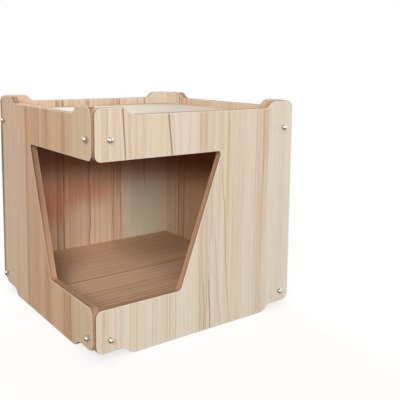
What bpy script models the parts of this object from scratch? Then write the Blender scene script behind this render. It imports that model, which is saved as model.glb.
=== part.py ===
"""Wooden cat house: six laminated boards bolted together through three-way corner brackets.

The window is one cut carried round the front left corner, through the front wall and the left
wall, with no post between them. Each wall ends in raised ears above and matching cut-outs below,
so a second house stands on the first. Metres, +Z up: the house stands on z = 0, centred on X and
Y, with its front towards -Y.
"""

from math import atan2, ceil, cos, pi, radians, sin, sqrt, tan

import bmesh
import bpy
from mathutils import Matrix, Vector

# The box
HOUSE_WIDTH = 0.400  # outside, along X
HOUSE_DEPTH = 0.400  # outside, along Y
BOARD = 0.012  # every board's thickness
RIM_HEIGHT = 0.373  # from the ground to the low middle of a wall's top edge
FLOOR_HEIGHT = 0.054  # from the ground to the cabin floor's top face
ROOF_RECESS = 0.014  # from the rim down to the roof's top face

# The ears at each wall's four corners, and the cut-outs below them
EAR_RISE = 0.012
EAR_LENGTH = 0.043  # flat, from the wall's end
EAR_SLOPE = 0.026  # along the wall, from the ear's flat to the rim
EAR_CORNER = 0.012  # radius of the outer corners

# The window, cut alike from the corner end of two walls
SILL_HEIGHT = 0.081
SILL_REACH = 0.154  # along the sill, from the wall's corner end
LINTEL_DEPTH = 0.068  # from the rim down to the window's top edge
LINTEL_REACH = 0.236  # along the lintel, from the wall's corner end
RAIL_CORNER = 0.010  # radius where a rail ends at the house's corner
SILL_CORNER = 0.009  # radius between the sill and the slanted side
LINTEL_CORNER = 0.005  # radius between the lintel and the slanted side

# Clearances
SEAT_GAP = 0.0003  # between two faces that touch on the real house
BOLT_PLAY = 0.0003  # round a bolt or a screw in its hole
TIP_ROOM = 0.0004  # past a bolt's or a screw's tip
OVERCUT = 0.001  # a cutter's reach past the face that it opens

# The corner brackets, pressed from sheet steel
SHEET = 0.0015
BRACKET_BEND = 0.0030  # outer radius of the three bends
BRACKET_CORNER = 0.005  # radius of each leg's free corner
HOLE_TO_EDGE = 0.010  # from a hole's centre to its leg's free edges
HEAD_SPACING = 0.00115  # between the heads of the two bolts that share a bracket
HEAD_TO_PLATE = 0.003  # between a bolt's head and the leg above it

# The bolts, with a pan head inside the house
BOLT_RADIUS = 0.0025
BOLT_HEAD_RADIUS = 0.00475
BOLT_HEAD_HEIGHT = 0.003
BOLT_TIP_CHAMFER = 0.0005

# The cap nuts, outside the house
NUT_FLATS = 0.008
NUT_HEX_HEIGHT = 0.0045
NUT_CHAMFER = 0.0006
NUT_DOME_RADIUS = 0.0036
NUT_DOME_HEIGHT = 0.0035
NUT_BORE_DEPTH = 0.006

# The wood screws that hold the floor and the roof down on their brackets
SCREW_RADIUS = 0.00175
SCREW_HEAD_RADIUS = 0.0035
SCREW_HEAD_HEIGHT = 0.0022
SCREW_POINT = 0.003
SCREW_COVER = 0.0035  # board left above a screw's tip

# Every head's upright side and its cross recess, as shares of the head's own size
HEAD_SIDE = 0.35
RECESS_REACH = 0.55
RECESS_WIDTH = 0.13
RECESS_DEPTH = 0.55
RECESS_TAPER = 0.5

# Facets
ARC_STEP = radians(15)
HOLE_SIDES = 16
TURNED_SIDES = 12
DOME_RINGS = 3
BEND_FACETS = 3
SHARP_ANGLE = radians(35)
MERGE = 1e-6

# Worked out from the sizes above
LINTEL_HEIGHT = RIM_HEIGHT - LINTEL_DEPTH
FLOOR_UNDERSIDE = FLOOR_HEIGHT - BOARD
ROOF_UNDERSIDE = RIM_HEIGHT - ROOF_RECESS - BOARD
HOLE_RADIUS = BOLT_RADIUS + BOLT_PLAY
HEAD_SEAT = 2 * SEAT_GAP + SHEET  # from a board's face to the seat of a head on its bracket
BOLT_INSET = HEAD_SEAT + BOLT_HEAD_HEIGHT + HEAD_SPACING + BOLT_HEAD_RADIUS
BOLT_DROP = SEAT_GAP + SHEET + HEAD_TO_PLATE + BOLT_HEAD_RADIUS
BOLT_LENGTH = HEAD_SEAT + BOARD + SEAT_GAP + NUT_BORE_DEPTH - TIP_ROOM
SCREW_REACH = BOARD - SCREW_COVER

# Each corner of the house: the side of X, the side of Y, and its bracket's turn about Z
HOUSE_CORNERS = {
    "front_left": (-1, -1, 0),
    "front_right": (1, -1, pi / 2),
    "back_right": (1, 1, pi),
    "back_left": (-1, 1, -pi / 2),
}

# Shade of each board's face, in linear light
BOARD_COLOURS = {
    "front_wall": (0.69, 0.58, 0.45),
    "left_wall": (0.55, 0.41, 0.28),
    "back_wall": (0.60, 0.48, 0.36),
    "right_wall": (0.62, 0.50, 0.38),
    "floor_panel": (0.55, 0.40, 0.27),
    "roof_panel": (0.68, 0.56, 0.46),
}
CUT_EDGE_COLOUR = (0.26, 0.14, 0.07)
CHROME_COLOUR = (0.72, 0.71, 0.68)
ZINC_COLOUR = (0.55, 0.55, 0.54)


def clear_scene():
    for obj in list(bpy.data.objects):
        bpy.data.objects.remove(obj, do_unlink=True)


def make_material(name, colour, roughness, metallic):
    made = bpy.data.materials.new(name)
    made.use_nodes = True
    shader = made.node_tree.nodes["Principled BSDF"]
    shader.inputs["Base Color"].default_value = (*colour, 1.0)
    shader.inputs["Roughness"].default_value = roughness
    shader.inputs["Metallic"].default_value = metallic
    made.diffuse_color = (*colour, 1.0)
    return made


def add_object(name, mesh, parent, place=(0, 0, 0), turn=(0, 0, 0)):
    obj = bpy.data.objects.new(name, mesh)
    obj.parent = parent
    obj.location = place
    obj.rotation_euler = turn
    bpy.context.scene.collection.objects.link(obj)
    return obj


def mesh_from(bm, name):
    """The bmesh as a mesh with its faces pointing out, freed from memory."""
    bmesh.ops.recalc_face_normals(bm, faces=bm.faces)
    mesh = bpy.data.meshes.new(name)
    bm.to_mesh(mesh)
    bm.free()
    return mesh


def smooth_round_faces(mesh):
    mesh.shade_smooth()
    mesh.set_sharp_from_angle(angle=SHARP_ANGLE)


def rounded_outline(corners):
    """Points of an outline whose corners (x, z, radius) become arcs tangent to both sides."""
    points = []
    for i, (x, z, radius) in enumerate(corners):
        corner = Vector((x, z))
        back = (Vector(corners[i - 1][:2]) - corner).normalized()
        ahead = (Vector(corners[(i + 1) % len(corners)][:2]) - corner).normalized()
        half = back.angle(ahead) / 2
        centre = corner + (back + ahead).normalized() * radius / sin(half)
        start = corner + back * radius / tan(half) - centre
        turn = pi - 2 * half
        if back.x * ahead.y - back.y * ahead.x > 0:
            turn = -turn
        first = atan2(start.y, start.x)
        steps = ceil(abs(turn) / ARC_STEP)
        for step in range(steps + 1):
            angle = first + turn * step / steps
            points.append((centre.x + radius * cos(angle), centre.y + radius * sin(angle)))
    return points


def ear_ogee():
    """Where an ear's slope turns, from the wall's end, and the radius of its two equal arcs."""
    tangent = (EAR_SLOPE**2 + EAR_RISE**2) / (4 * EAR_SLOPE)
    radius = (EAR_SLOPE**2 + EAR_RISE**2) / (4 * EAR_RISE)
    return EAR_LENGTH + tangent, EAR_LENGTH + EAR_SLOPE - tangent, radius


def wall_corners(length, window_end=0):
    """Corners of a wall's outline, seen from outside, anticlockwise from the lower left ear.

    window_end is -1 or 1 where the wall's left or right end is open to the window, or else 0.
    """
    end = length / 2
    high, low, bend = ear_ogee()
    ear_top = RIM_HEIGHT + EAR_RISE
    window = [
        (LINTEL_HEIGHT, 0.0, RAIL_CORNER),
        (LINTEL_HEIGHT, LINTEL_REACH, LINTEL_CORNER),
        (SILL_HEIGHT, SILL_REACH, SILL_CORNER),
        (SILL_HEIGHT, 0.0, RAIL_CORNER),
    ]
    corners = [
        (-end, EAR_RISE, EAR_CORNER),
        (-end + high, EAR_RISE, bend),
        (-end + low, 0.0, bend),
        (end - low, 0.0, bend),
        (end - high, EAR_RISE, bend),
        (end, EAR_RISE, EAR_CORNER),
    ]
    if window_end == 1:
        corners += [(end - reach, height, radius) for height, reach, radius in reversed(window)]
    corners += [
        (end, ear_top, EAR_CORNER),
        (end - high, ear_top, bend),
        (end - low, RIM_HEIGHT, bend),
        (-end + low, RIM_HEIGHT, bend),
        (-end + high, ear_top, bend),
        (-end, ear_top, EAR_CORNER),
    ]
    if window_end == -1:
        corners += [(reach - end, height, radius) for height, reach, radius in window]
    return corners


def board_mesh(name, outline, finish, edge_finish):
    """A board on its outline (x, z), with its outer face at y = 0 and its inner at y = BOARD."""
    bm = bmesh.new()
    face = bm.faces.new([bm.verts.new((x, 0.0, z)) for x, z in outline])
    grown = bmesh.ops.extrude_face_region(bm, geom=[face])["geom"]
    moved = [item for item in grown if isinstance(item, bmesh.types.BMVert)]
    bmesh.ops.translate(bm, vec=(0.0, BOARD, 0.0), verts=moved)
    bm.normal_update()
    for side in bm.faces:
        side.material_index = 0 if abs(side.normal.y) > 0.5 else 1
    mesh = mesh_from(bm, name)
    mesh.materials.append(finish)
    mesh.materials.append(edge_finish)
    return mesh


def add_drill(obj, name, holes, radius, depth, axis):
    """Cuts round holes that start at the given points of the object and run along the axis."""
    turn = Vector((0, 0, 1)).rotation_difference(Vector(axis)).to_matrix().to_4x4()
    bm = bmesh.new()
    for point in holes:
        middle = Vector(point) + Vector(axis) * (depth - OVERCUT) / 2
        bmesh.ops.create_cone(
            bm,
            cap_ends=True,
            segments=HOLE_SIDES,
            radius1=radius,
            radius2=radius,
            depth=depth + OVERCUT,
            matrix=Matrix.Translation(middle) @ turn,
        )
    cutter = add_object(name, mesh_from(bm, name), obj)
    cutter.hide_render = True
    cutter.display_type = "WIRE"
    cut = obj.modifiers.new("holes", "BOOLEAN")
    cut.operation = "DIFFERENCE"
    cut.object = cutter


def evaluated_mesh(obj, name):
    """A new mesh of the object with its modifiers applied."""
    graph = bpy.context.evaluated_depsgraph_get()
    made = bpy.data.meshes.new_from_object(obj.evaluated_get(graph))
    made.name = name
    return made


def combine(name, base, steps):
    """The base mesh after Boolean steps (operation, other mesh), as one mesh."""
    helpers = [add_object(name + "_blank", base, None)]
    for operation, other in steps:
        helpers.append(add_object(name + "_tool", other, None))
        modifier = helpers[0].modifiers.new(operation, "BOOLEAN")
        modifier.operation = operation
        modifier.object = helpers[-1]
    made = evaluated_mesh(helpers[0], name)
    for helper in helpers:
        bpy.data.objects.remove(helper, do_unlink=True)
    return made


def turned_mesh(name, profile, sides=TURNED_SIDES):
    """A profile of (radius, height) points spun about Z, its first and last on the axis."""
    bm = bmesh.new()
    points = [bm.verts.new((radius, 0.0, height)) for radius, height in profile]
    edges = [bm.edges.new(pair) for pair in zip(points, points[1:])]
    bmesh.ops.spin(
        bm, geom=points + edges, cent=(0, 0, 0), axis=(0, 0, 1), angle=2 * pi, steps=sides
    )
    bmesh.ops.remove_doubles(bm, verts=bm.verts, dist=MERGE)
    return mesh_from(bm, name)


def dome_profile(radius, height, base):
    """Points of a quarter ellipse from its rim at the base height up to its crown."""
    angles = [pi / 2 * ring / DOME_RINGS for ring in range(DOME_RINGS)]
    return [(radius * cos(a), base + height * sin(a)) for a in angles] + [(0.0, base + height)]


def prism_mesh(name, outline, bottom, top, top_scale=1.0):
    """An upright prism on an outline (x, y), its top end scaled."""
    bm = bmesh.new()
    lower = [bm.verts.new((x, y, bottom)) for x, y in outline]
    upper = [bm.verts.new((x * top_scale, y * top_scale, top)) for x, y in outline]
    bmesh.ops.contextual_create(bm, geom=lower)
    bmesh.ops.contextual_create(bm, geom=upper)
    for i in range(len(outline)):
        bm.faces.new((lower[i - 1], lower[i], upper[i], upper[i - 1]))
    return mesh_from(bm, name)


def recess_mesh(head_radius, head_height):
    """The cross-shaped cutter of a head's recess, standing on the head's seat at z = 0."""
    reach = head_radius * RECESS_REACH
    width = head_radius * RECESS_WIDTH
    arm = [(reach, -width), (reach, width), (width, width)]
    outline = []
    for quarter in range(4):
        turn = Matrix.Rotation(quarter * pi / 2, 2)
        outline += [tuple(turn @ Vector(point)) for point in arm]
    floor = head_height * (1 - RECESS_DEPTH)
    top = head_height + OVERCUT
    small = [(x * RECESS_TAPER, y * RECESS_TAPER) for x, y in outline]
    return prism_mesh("recess", small, floor, top, 1 / RECESS_TAPER)


def headed_mesh(name, shank, head_radius, head_height, finish):
    """A fastener with a domed head above z = 0 and a shank profile below it."""
    side = head_height * HEAD_SIDE
    head = [(head_radius, 0.0)] + dome_profile(head_radius, head_height - side, side)
    blank = turned_mesh(name + "_blank", shank + head)
    mesh = combine(name, blank, [("DIFFERENCE", recess_mesh(head_radius, head_height))])
    smooth_round_faces(mesh)
    mesh.materials.append(finish)
    return mesh


def bolt_mesh(finish):
    narrow = BOLT_RADIUS - BOLT_TIP_CHAMFER
    shank = [
        (0.0, -BOLT_LENGTH),
        (narrow, -BOLT_LENGTH),
        (BOLT_RADIUS, BOLT_TIP_CHAMFER - BOLT_LENGTH),
        (BOLT_RADIUS, 0.0),
    ]
    return headed_mesh("bolt", shank, BOLT_HEAD_RADIUS, BOLT_HEAD_HEIGHT, finish)


def screw_mesh(finish):
    tip = -(HEAD_SEAT + SCREW_REACH)
    shank = [(0.0, tip), (SCREW_RADIUS, tip + SCREW_POINT), (SCREW_RADIUS, 0.0)]
    return headed_mesh("screw", shank, SCREW_HEAD_RADIUS, SCREW_HEAD_HEIGHT, finish)


def cap_nut_mesh(finish):
    """A hexagon with bevelled corners under a dome, bored from below, seated on z = 0."""
    points = NUT_FLATS / sqrt(3)
    bevelled = NUT_FLATS / 2
    blank = turned_mesh(
        "nut_blank",
        [
            (0.0, 0.0),
            (bevelled, 0.0),
            (points, NUT_CHAMFER),
            (points, NUT_HEX_HEIGHT - NUT_CHAMFER),
            (bevelled, NUT_HEX_HEIGHT),
        ]
        + dome_profile(NUT_DOME_RADIUS, NUT_DOME_HEIGHT, NUT_HEX_HEIGHT),
    )
    angles = [pi / 3 * side for side in range(6)]
    hexagon = [(points * cos(a), points * sin(a)) for a in angles]
    over = NUT_HEX_HEIGHT + NUT_DOME_HEIGHT + OVERCUT
    flats = prism_mesh("nut_flats", hexagon, -OVERCUT, over)
    angles = [2 * pi * side / TURNED_SIDES for side in range(TURNED_SIDES)]
    circle = [(HOLE_RADIUS * cos(a), HOLE_RADIUS * sin(a)) for a in angles]
    bore = prism_mesh("nut_bore", circle, -OVERCUT, NUT_BORE_DEPTH)
    mesh = combine("cap_nut", blank, [("INTERSECT", flats), ("DIFFERENCE", bore)])
    smooth_round_faces(mesh)
    mesh.materials.append(finish)
    return mesh


def folded_shell(leg, drop):
    """The outer skin of a bracket: three faces that meet at 0, with bends and free corners round."""
    bm = bmesh.new()
    bmesh.ops.create_cube(bm, size=1.0, matrix=Matrix.Translation((0.5, 0.5, -0.5)))
    bmesh.ops.scale(bm, vec=(leg, leg, drop), verts=bm.verts)
    outer = [v for v in bm.verts if v.co.length < MERGE][0]
    far_faces = [face for face in bm.faces if outer not in face.verts]
    bmesh.ops.delete(bm, geom=far_faces, context="FACES")
    free = [v for v in bm.verts if len(v.link_edges) == 2]
    rounding = {"offset_type": "OFFSET", "segments": BEND_FACETS, "profile": 0.5}
    bends = list(outer.link_edges)
    bmesh.ops.bevel(bm, geom=bends, offset=BRACKET_BEND, affect="EDGES", **rounding)
    bmesh.ops.bevel(bm, geom=free, offset=BRACKET_CORNER, affect="VERTICES", **rounding)
    return mesh_from(bm, "bracket_shell")


def bracket_mesh(finish):
    """A three-way bracket: a leg under the board and two down the walls, from a corner at 0."""
    inset = BOLT_INSET - SEAT_GAP
    fall = BOLT_DROP - SEAT_GAP
    shell = folded_shell(inset + HOLE_TO_EDGE, fall + HOLE_TO_EDGE)
    blank = add_object("bracket_blank", shell, None)
    thicken = blank.modifiers.new("sheet", "SOLIDIFY")
    thicken.thickness = SHEET
    thicken.offset = -1.0
    thicken.use_even_offset = True
    through = SHEET + OVERCUT
    screw_hole = SCREW_RADIUS + BOLT_PLAY
    add_drill(blank, "bracket_front_hole", [(inset, 0, -fall)], HOLE_RADIUS, through, (0, 1, 0))
    add_drill(blank, "bracket_side_hole", [(0, inset, -fall)], HOLE_RADIUS, through, (1, 0, 0))
    add_drill(blank, "bracket_top_hole", [(inset, inset, 0)], screw_hole, through, (0, 0, -1))
    mesh = evaluated_mesh(blank, "bracket")
    for helper in list(blank.children) + [blank]:
        bpy.data.objects.remove(helper, do_unlink=True)
    smooth_round_faces(mesh)
    mesh.materials.append(finish)
    return mesh


def hole_heights():
    return {"bottom": FLOOR_UNDERSIDE - BOLT_DROP, "top": ROOF_UNDERSIDE - BOLT_DROP}


def add_wall(house, name, place, turn, lengths, window_end, finishes, fasteners):
    """A wall with its outer face on the given place, and its four bolts and cap nuts.

    lengths holds the wall's length, the clear width inside and the names of its left and right.
    """
    length, inside, ends = lengths
    outline = rounded_outline(wall_corners(length, window_end))
    wall = add_object(name, board_mesh(name, outline, *finishes), house, place, (0, 0, turn))
    bolts, nuts = fasteners
    across = inside / 2 - BOLT_INSET
    holes = []
    for level, height in hole_heights().items():
        for side, end in zip((-1, 1), ends):
            x = side * across
            holes.append((x, 0.0, height))
            corner = f"{level}_{end}"
            head = (x, BOARD + HEAD_SEAT, height)
            add_object(f"{name}_bolt_{corner}", bolts, wall, head, (-pi / 2, 0, 0))
            seat = (x, -SEAT_GAP, height)
            add_object(f"{name}_cap_nut_{corner}", nuts, wall, seat, (pi / 2, 0, 0))
    add_drill(wall, name + "_drill", holes, HOLE_RADIUS, BOARD + OVERCUT, (0, 1, 0))


def add_level(house, level, underside, finishes, bracket, screw):
    """A floor or roof board between the walls, on four brackets with a screw in each."""
    name = level + "_panel"
    half_x = HOUSE_WIDTH / 2 - BOARD
    half_y = HOUSE_DEPTH / 2 - BOARD
    x = half_x - SEAT_GAP
    y = half_y - SEAT_GAP
    outline = [(-x, -y), (x, -y), (x, y), (-x, y)]
    mesh = board_mesh(name, outline, *finishes)
    board = add_object(name, mesh, house, (0, 0, underside + BOARD), (-pi / 2, 0, 0))
    holes = []
    for corner, (side_x, side_y, turn) in HOUSE_CORNERS.items():
        place = (side_x * x, side_y * y, underside - SEAT_GAP)
        add_object(f"{level}_bracket_{corner}", bracket, house, place, (0, 0, turn))
        screw_x = side_x * (half_x - BOLT_INSET)
        screw_y = side_y * (half_y - BOLT_INSET)
        holes.append((screw_x, BOARD, -screw_y))
        head = (screw_x, screw_y, underside - HEAD_SEAT)
        add_object(f"{level}_screw_{corner}", screw, house, head, (pi, 0, 0))
    depth = SCREW_REACH + TIP_ROOM
    add_drill(board, name + "_drill", holes, SCREW_RADIUS + BOLT_PLAY, depth, (0, -1, 0))


def build():
    clear_scene()
    house = add_object("cat_house", None, None)
    chrome = make_material("cap_nut_chrome", CHROME_COLOUR, 0.18, 1.0)
    zinc = make_material("zinc_plated_steel", ZINC_COLOUR, 0.38, 1.0)
    cut_edge = make_material("cut_edge", CUT_EDGE_COLOUR, 0.7, 0.0)
    faces = {
        name: make_material(name + "_laminate", colour, 0.5, 0.0)
        for name, colour in BOARD_COLOURS.items()
    }
    fasteners = (bolt_mesh(zinc), cap_nut_mesh(chrome))
    bracket = bracket_mesh(zinc)
    screw = screw_mesh(zinc)
    inside_x = HOUSE_WIDTH - 2 * BOARD
    inside_y = HOUSE_DEPTH - 2 * BOARD
    long_wall = (HOUSE_WIDTH, inside_x)
    short_wall = (inside_y - 2 * SEAT_GAP, inside_y)
    walls = (
        ("front_wall", (0, -HOUSE_DEPTH / 2, 0), 0, (*long_wall, ("left", "right")), -1),
        ("right_wall", (HOUSE_WIDTH / 2, 0, 0), pi / 2, (*short_wall, ("front", "back")), 0),
        ("back_wall", (0, HOUSE_DEPTH / 2, 0), pi, (*long_wall, ("right", "left")), 0),
        ("left_wall", (-HOUSE_WIDTH / 2, 0, 0), -pi / 2, (*short_wall, ("back", "front")), 1),
    )
    for name, place, turn, lengths, window_end in walls:
        finishes = (faces[name], cut_edge)
        add_wall(house, name, place, turn, lengths, window_end, finishes, fasteners)
    for level, underside in (("floor", FLOOR_UNDERSIDE), ("roof", ROOF_UNDERSIDE)):
        finishes = (faces[level + "_panel"], cut_edge)
        add_level(house, level, underside, finishes, bracket, screw)


build()
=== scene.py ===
"""Dresses the wooden cat house: printed laminate boards with milled edges, plated fasteners, a pale studio.

Laid out as an add-on and run as a script. Metres, +Z up, the house's front towards -Y.
"""

from math import cos, pi, radians, sin, sqrt
from typing import NamedTuple

import bmesh
import bpy
import numpy as np
from bpy.props import FloatProperty, FloatVectorProperty, PointerProperty
from mathutils import Matrix, Vector
from mathutils.geometry import tessellate_polygon


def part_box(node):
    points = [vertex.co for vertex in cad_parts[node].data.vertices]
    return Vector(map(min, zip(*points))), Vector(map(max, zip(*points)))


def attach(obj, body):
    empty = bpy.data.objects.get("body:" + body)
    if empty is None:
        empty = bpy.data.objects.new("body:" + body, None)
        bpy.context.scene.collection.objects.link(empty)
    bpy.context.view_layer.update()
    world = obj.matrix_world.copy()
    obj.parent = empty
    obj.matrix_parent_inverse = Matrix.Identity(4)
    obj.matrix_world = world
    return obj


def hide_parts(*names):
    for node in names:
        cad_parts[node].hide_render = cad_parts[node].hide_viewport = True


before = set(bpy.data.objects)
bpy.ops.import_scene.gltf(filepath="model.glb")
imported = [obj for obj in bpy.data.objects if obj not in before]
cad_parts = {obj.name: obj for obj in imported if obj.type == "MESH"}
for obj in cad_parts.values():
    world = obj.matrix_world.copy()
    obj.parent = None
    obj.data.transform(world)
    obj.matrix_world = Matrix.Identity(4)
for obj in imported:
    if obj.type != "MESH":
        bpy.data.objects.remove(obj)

bl_info = {
    "name": "Wooden cat house",
    "version": (1, 0, 0),
    "blender": (4, 5, 0),
    "location": "3D View > Sidebar > Cat house",
    "description": "Laminated boards, cap nuts, bolts, screws and brackets of a stackable cat house",
    "category": "Add Mesh",
}

BODY = "root"

X_AXIS = np.array([1.0, 0.0, 0.0])
Y_AXIS = np.array([0.0, 1.0, 0.0])
Z_AXIS = np.array([0.0, 0.0, 1.0])

WALL_LOW, WALL_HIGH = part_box("front_wall")
MM = 0.001


def tone(red, green, blue):
    """Linear colour of an 8 bit screen colour."""
    level = np.array([red, green, blue]) / 255
    return tuple(np.where(level <= 0.04045, level / 12.92, ((level + 0.055) / 1.055) ** 2.4).tolist())


# Properties


def length(name, description, default):
    return FloatProperty(
        name=name,
        description=description,
        default=default,
        min=0.0,
        subtype="DISTANCE",
        unit="LENGTH",
        precision=5,
    )


def colour(name, description, default):
    return FloatVectorProperty(
        name=name, description=description, default=default, min=0.0, max=1.0, size=3, subtype="COLOR"
    )


def share(name, description, default):
    return FloatProperty(
        name=name, description=description, default=default, min=0.0, soft_max=1.0, subtype="FACTOR"
    )


def tilt(name, description, degrees):
    return FloatProperty(name=name, description=description, default=radians(degrees), subtype="ANGLE")


def power(name, description, default):
    return FloatProperty(name=name, description=description, default=default, min=0.0, unit="POWER")


class BoardShape(bpy.types.PropertyGroup):
    """Sizes of the walls' outline and of every board's edges."""

    thickness: length("Board", "Thickness of every board", WALL_HIGH.y - WALL_LOW.y)
    ear_rise: length("Ear rise", "Height of an ear above the rim", 12 * MM)
    ear_length: length("Ear length", "Flat of an ear from the wall's end", 43 * MM)
    ear_slope: length("Ear slope", "Along the wall from an ear's flat to the rim", 26 * MM)
    ear_corner: length("Ear corner", "Radius of a wall's outer corners", 12 * MM)
    sill_height: length("Sill height", "From the ground to the window's sill", 81 * MM)
    sill_reach: length("Sill reach", "Along the sill from the wall's end", 154 * MM)
    sill_corner: length("Sill corner", "Radius between the sill and the slanted side", 9 * MM)
    lintel_depth: length("Lintel depth", "From the rim down to the window", 68 * MM)
    lintel_reach: length("Lintel reach", "Along the lintel from the wall's end", 236 * MM)
    lintel_corner: length("Lintel corner", "Radius between the lintel and the slanted side", 5 * MM)
    rail_corner: length("Rail corner", "Radius where a rail ends at the house's corner", 10 * MM)
    level_corner: length("Level corner", "Radius of the floor's and the roof's corners", 1 * MM)
    arris: length("Arris", "Radius of the edge between a face and a cut side", 0.7 * MM)
    # The rim strip shows wear and a painted highlight along the arris
    rim_strip: length("Worn rim", "Width of the strip along an edge that shows handling", 5 * MM)
    hole_radius: length("Bolt hole", "Radius of a bolt's hole", 2.8 * MM)
    pilot_radius: length("Screw hole", "Radius of a wood screw's hole", 2.05 * MM)
    pilot_depth: length("Screw hole depth", "Depth of a wood screw's hole", 9.5 * MM)


class PrintLook(bpy.types.PropertyGroup):
    """Colours of the printed wood grain and of the boards' milled sides."""

    cream: colour("Cream", "Main tone of the print", tone(214, 196, 171))
    rose: colour("Rose", "Pinkish tone of the print", tone(215, 193, 173))
    moss: colour("Moss", "Greenish tone of the print", tone(211, 197, 169))
    chalk: colour("Chalk", "Palest, greyish tone of the print", tone(215, 205, 189))
    # milk: the room's boards painted paler below the roof, and the floor paler towards the windows
    milk: colour("Milk", "Pale wash on the room's boards", tone(232, 214, 190))
    salmon: colour("Salmon", "Reddish streaks", tone(204, 164, 138))
    # umber: dark lines of the print, and broad painted shade on the floor, the room's right wall and the left
    # wall
    umber: colour("Umber", "Dark thin lines", tone(138, 103, 73))
    olive: colour("Olive", "Greenish brown lines", tone(188, 168, 130))
    sage: colour("Sage", "Pale, greenish grey patches", tone(203, 209, 194))
    # walnut: thin dark lines of the print, and the painted shade high on the room's walls
    walnut: colour("Walnut", "Darkest brown, high on the room's walls", tone(118, 60, 22))
    # russet: reddish lines of the print, and a painted reddish glow of light on the back wall
    russet: colour("Russet", "Broad reddish blush", tone(196, 108, 72))
    mauve: colour("Mauve", "Purplish brown streaks", tone(194, 171, 152))
    # tan is partly the sheet's warmer tone and partly painted shade: warm shade in the room, shade on the
    # left wall
    tan: colour("Tan", "What the print is multiplied by where the sheet is warmer", (1.0, 0.78, 0.63))
    cut_side: colour("Milled side", "Fibre board where it is cut", tone(184, 140, 104))
    # cut_dark also gives the painted shade high on the window's slanted sides
    cut_dark: colour("Milled side's rim", "Denser fibre board beside the laminate", tone(88, 58, 36))


class HardwareShape(bpy.types.PropertyGroup):
    """Sizes of the cap nuts, bolts and screws."""

    nut_flats: length("Nut flats", "Across the flats of a cap nut", 8 * MM)
    nut_hexagon: length("Nut hexagon", "Height of a cap nut's hexagon", 4.5 * MM)
    nut_dome: length("Nut dome", "Radius of a cap nut's dome", 3.6 * MM)
    nut_bore: length("Nut bore", "Depth of a cap nut's thread", 6 * MM)
    bolt_radius: length("Bolt", "Radius over a bolt's thread", 2.5 * MM)
    bolt_pitch: length("Bolt pitch", "From one turn of a bolt's thread to the next", 0.8 * MM)
    bolt_head: length("Bolt head", "Radius of a bolt's head", 4.75 * MM)
    bolt_head_height: length("Bolt head height", "Height of a bolt's head", 3 * MM)
    screw_radius: length("Screw", "Radius over a wood screw's thread", 1.75 * MM)
    screw_pitch: length("Screw pitch", "From one turn of a screw's thread to the next", 1.6 * MM)
    screw_head: length("Screw head", "Radius of a screw's head", 3.5 * MM)
    screw_head_height: length("Screw head height", "Height of a screw's head", 2.2 * MM)


class StudioLook(bpy.types.PropertyGroup):
    """The camera's place and the lamps."""

    lens: FloatProperty(name="Lens", description="Focal length on a 36 mm sensor", default=53.71, min=1.0)
    yaw: tilt("Yaw", "Right of straight ahead", 35.80)
    pitch: tilt("Pitch", "Above the horizon", -6.79)
    roll: tilt("Roll", "Turn of the picture", 0.53)
    place: FloatVectorProperty(
        name="Place",
        description="The camera's place",
        default=(-0.5922, -0.9627, 0.4469),
        subtype="XYZ",
        unit="LENGTH",
    )
    shift: FloatVectorProperty(
        name="Shift", description="Share of the picture, right and up", default=(0.040, -0.160), size=2
    )
    key_light: power("Key light", "Wide softbox at the front left", 107.0)
    fill_light: power("Fill light", "High softbox at the front left", 62.0)
    left_light: power("Left light", "Softbox behind the left wall's rear end", 6.0)
    front_light: power("Front light", "Low softbox in front of the window", 22.0)
    right_light: power("Right light", "Softbox at the right", 30.0)
    back_light: power("Back light", "Softbox behind", 42.0)
    room_light: share("Room light", "Even light from all round", 0.15)


# Surfaces


class Patchwork:
    """One piece gathered from patches, each with its corner normals, its map and its finish."""

    def __init__(self):
        self.points = []
        self.faces = []
        self.normals = []
        self.maps = []
        self.rims = []
        self.finishes = []
        self.count = 0

    def add_points(self, points, rims=0.0):
        """Keeps points (n, 3) and how far each is into the rim strip of wear and painted highlight, and
        returns the first one's number.
        """
        first = self.count
        self.points.append(points)
        self.rims.append(np.broadcast_to(rims, len(points)))
        self.count += len(points)
        return first

    def add_faces(self, corners, normals, places, finish):
        """Keeps faces (n, k) with normals (n, k, 3) and map places (n, k, 2) at their corners."""
        self.faces += corners.tolist()
        self.normals.append(np.broadcast_to(normals, (*corners.shape, 3)).reshape(-1, 3))
        self.maps.append(places.reshape(-1, 2))
        self.finishes.append(np.full(len(corners), finish))

    def piece(self, name, finishes):
        mesh = bpy.data.meshes.new(name)
        mesh.from_pydata(np.concatenate(self.points).tolist(), [], self.faces)
        for finish in finishes:
            mesh.materials.append(finish)
        mesh.polygons.foreach_set("material_index", np.concatenate(self.finishes).astype(np.int32))
        layer = mesh.uv_layers.new(name="along_and_across")
        layer.uv.foreach_set("vector", np.concatenate(self.maps).astype(np.float32).ravel())
        rim = mesh.attributes.new("rim", "FLOAT", "POINT")
        rim.data.foreach_set("value", np.concatenate(self.rims).astype(np.float32))
        mesh.shade_smooth()
        mesh.normals_split_custom_set(np.concatenate(self.normals).tolist())
        return add_piece(name, mesh)


def add_piece(name, mesh):
    made = bpy.data.objects.new(name, mesh)
    bpy.context.scene.collection.objects.link(made)
    return made


def dress(piece, node):
    """Makes the piece stand for a CAD node: puts it under the body and hides the node."""
    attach(piece, BODY)
    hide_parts(node)


def grid_corners(rows, columns):
    """Corner numbers of the quads of a grid whose last row meets its first."""
    here = np.arange(rows)[:, None] * columns
    ahead = (np.arange(rows)[:, None] + 1) % rows * columns
    left = np.arange(columns - 1)
    return np.stack([here + left, here + left + 1, ahead + left + 1, ahead + left], -1).reshape(-1, 4)


def turning(vectors):
    """Each row's length made one."""
    return vectors / np.linalg.norm(vectors, axis=-1, keepdims=True)


ARC_POINTS = 12


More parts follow.
